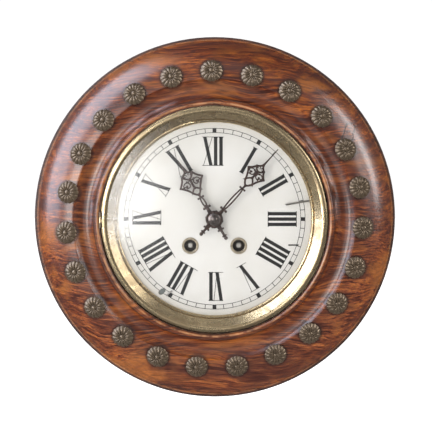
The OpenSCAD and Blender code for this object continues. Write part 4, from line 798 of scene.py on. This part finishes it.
minute_relief = Relief(MINUTE_AT, MINUTE_FRONT)
minute_relief.head(foot=47.8, side=(4.6, 53.2), knot=58.4, waist=66.8, shoulder=(5, 71.2),
                   neck=76, corner=(10.7, 64.4))
minute_relief.shank(boss=8.2, bar_at=43.3, foot=47.8, tail=22.1)
minute_relief.finish("minute_hand_relief", METAL["browned_steel"], "minute_work")
hour_relief = Relief(HOUR_AT, HOUR_FRONT)
hour_relief.head(foot=30.2, side=(4.5, 34.8), knot=38.6, waist=48.5, shoulder=(6.1, 54.2),
                 neck=58.4, corner=(13.3, 45.3))
hour_relief.shank(boss=8.7, bar_at=26.8, foot=30.2, tail=24.8)
hour_relief.finish("hour_hand_relief", METAL["greyed_steel"], "hour_work")


# Camera, floor and lamps, in metres; places are from the hanger's hole
CAMERA_AIM = place(1.4, 2.1, 76)
CAMERA_AWAY = 1.6
CAMERA_RIGHT, CAMERA_UP = math.radians(0.7), math.radians(3.4)
SENSOR = 36                   # millimetres, as lenses are
PHOTO_ACROSS = 432            # pixels
PIXEL = 1.056                 # millimetres of the clock in one of them
FLOOR_LEVEL = -0.62
FLOOR_CORNERS = ((-6, -6), (6, -6), (6, 8), (-6, 8))
PALE = (0.92, 0.92, 0.92, 1)

# Lamps: name, place, what it faces, width, height, watts and colour
TO_FACE = (0, 0, -0.1)
TO_RING = (0, -0.10, -0.12)
PLAIN = (1, 1, 1)
LAMPS = (
    ("left_window", (-1.32, -0.34, 0.66), TO_RING, 1.3, 2.1, 53, (0.90, 0.98, 1.16)),
    ("front_left", (-1.25, -1.80, 0.05), TO_FACE, 0.55, 0.9, 18, PLAIN),
    ("room_left", (-0.85, -2.1, 0.35), TO_FACE, 0.6, 0.9, 6, PLAIN),
    ("right_card", (1.44, -0.33, 0.48), TO_RING, 0.36, 1.1, 15, PLAIN),
    ("low_card", (1.29, -0.93, 0.47), TO_RING, 0.4, 1.0, 5, PLAIN),
    ("top_soft", (0.2, -1.6, 1.7), (0, -0.1, -0.1), 1.0, 1.0, 2, PLAIN),
    # a window behind the camera, mirrored by the glass over the left of the dial
    ("window_behind", (-0.268, -2.5, -0.199), (-0.268, 0, -0.199), 0.21, 0.25, 0.25, PLAIN),
    ("window_pane", (-0.325, -2.49, -0.180), (-0.325, 0, -0.180), 0.13, 0.28, 1.4, PLAIN),
)

# Light from all round: its strength and colour, and the white that some rays see in its place
SOFT_STRENGTH, SOFT_COLOUR = 0.50, (1.0, 0.985, 0.96, 1)
SEEN_WHITE = (("Is Glossy Ray", 0.11), ("Is Camera Ray", 1.05))


def stand(name, data, at, facing):
    """Puts a lamp or camera in the studio, facing along a vector."""
    made = bpy.data.objects.new(name, data)
    made.location = at
    made.rotation_euler = facing.to_track_quat("-Z", "Y").to_euler()
    bpy.context.scene.collection.objects.link(made)
    return made


def camera():
    back = Vector((math.sin(CAMERA_RIGHT) * math.cos(CAMERA_UP),
                   -math.cos(CAMERA_RIGHT) * math.cos(CAMERA_UP), math.sin(CAMERA_UP)))
    data = bpy.data.cameras.new("camera")
    data.sensor_width = SENSOR
    data.lens = SENSOR * CAMERA_AWAY * 1000 / (PHOTO_ACROSS * PIXEL)
    bpy.context.scene.camera = stand("camera", data, CAMERA_AIM + back * CAMERA_AWAY, -back)


def floor():
    mesh = bpy.data.meshes.new("studio_floor")
    mesh.from_pydata([(*corner, FLOOR_LEVEL) for corner in FLOOR_CORNERS], [], [(0, 1, 2, 3)])
    made = bpy.data.objects.new("studio_floor", mesh)
    bpy.context.scene.collection.objects.link(made)
    pale = Finish("pale_floor")
    mesh.materials.append(pale.surface(Base_Color=PALE, Roughness=0.8,
                                       Emission_Color=WHITE, Emission_Strength=0.85))
    # the white floor isn't mirrored in the polish, as dark cloth lies before it in a studio
    made.visible_glossy = False


def lamp(name, at, aim, width, height, power, colour):
    data = bpy.data.lights.new(name, "AREA")
    data.shape = "RECTANGLE"
    data.size = width
    data.size_y = height
    data.energy = power
    data.color = colour
    stand(name, data, at, Vector(aim) - Vector(at))


def light_all_round():
    """Soft light on the clock, a dim room in its polish and white paper to the camera."""
    f = Finish("studio", world=True)
    light = f.node("ShaderNodeBackground", None, {"Strength": SOFT_STRENGTH, "Color": SOFT_COLOUR})
    for ray, strength in SEEN_WHITE:
        seen = f.node("ShaderNodeLightPath", output=ray)
        white = f.node("ShaderNodeBackground", None, {"Strength": strength, "Color": WHITE})
        light = f.node("ShaderNodeMixShader", None, [seen, light, white])
    bpy.context.scene.world = f.close(light)


camera()
floor()
for row in LAMPS:
    lamp(*row)
light_all_round()
bpy.context.scene.view_settings.view_transform = "Standard"
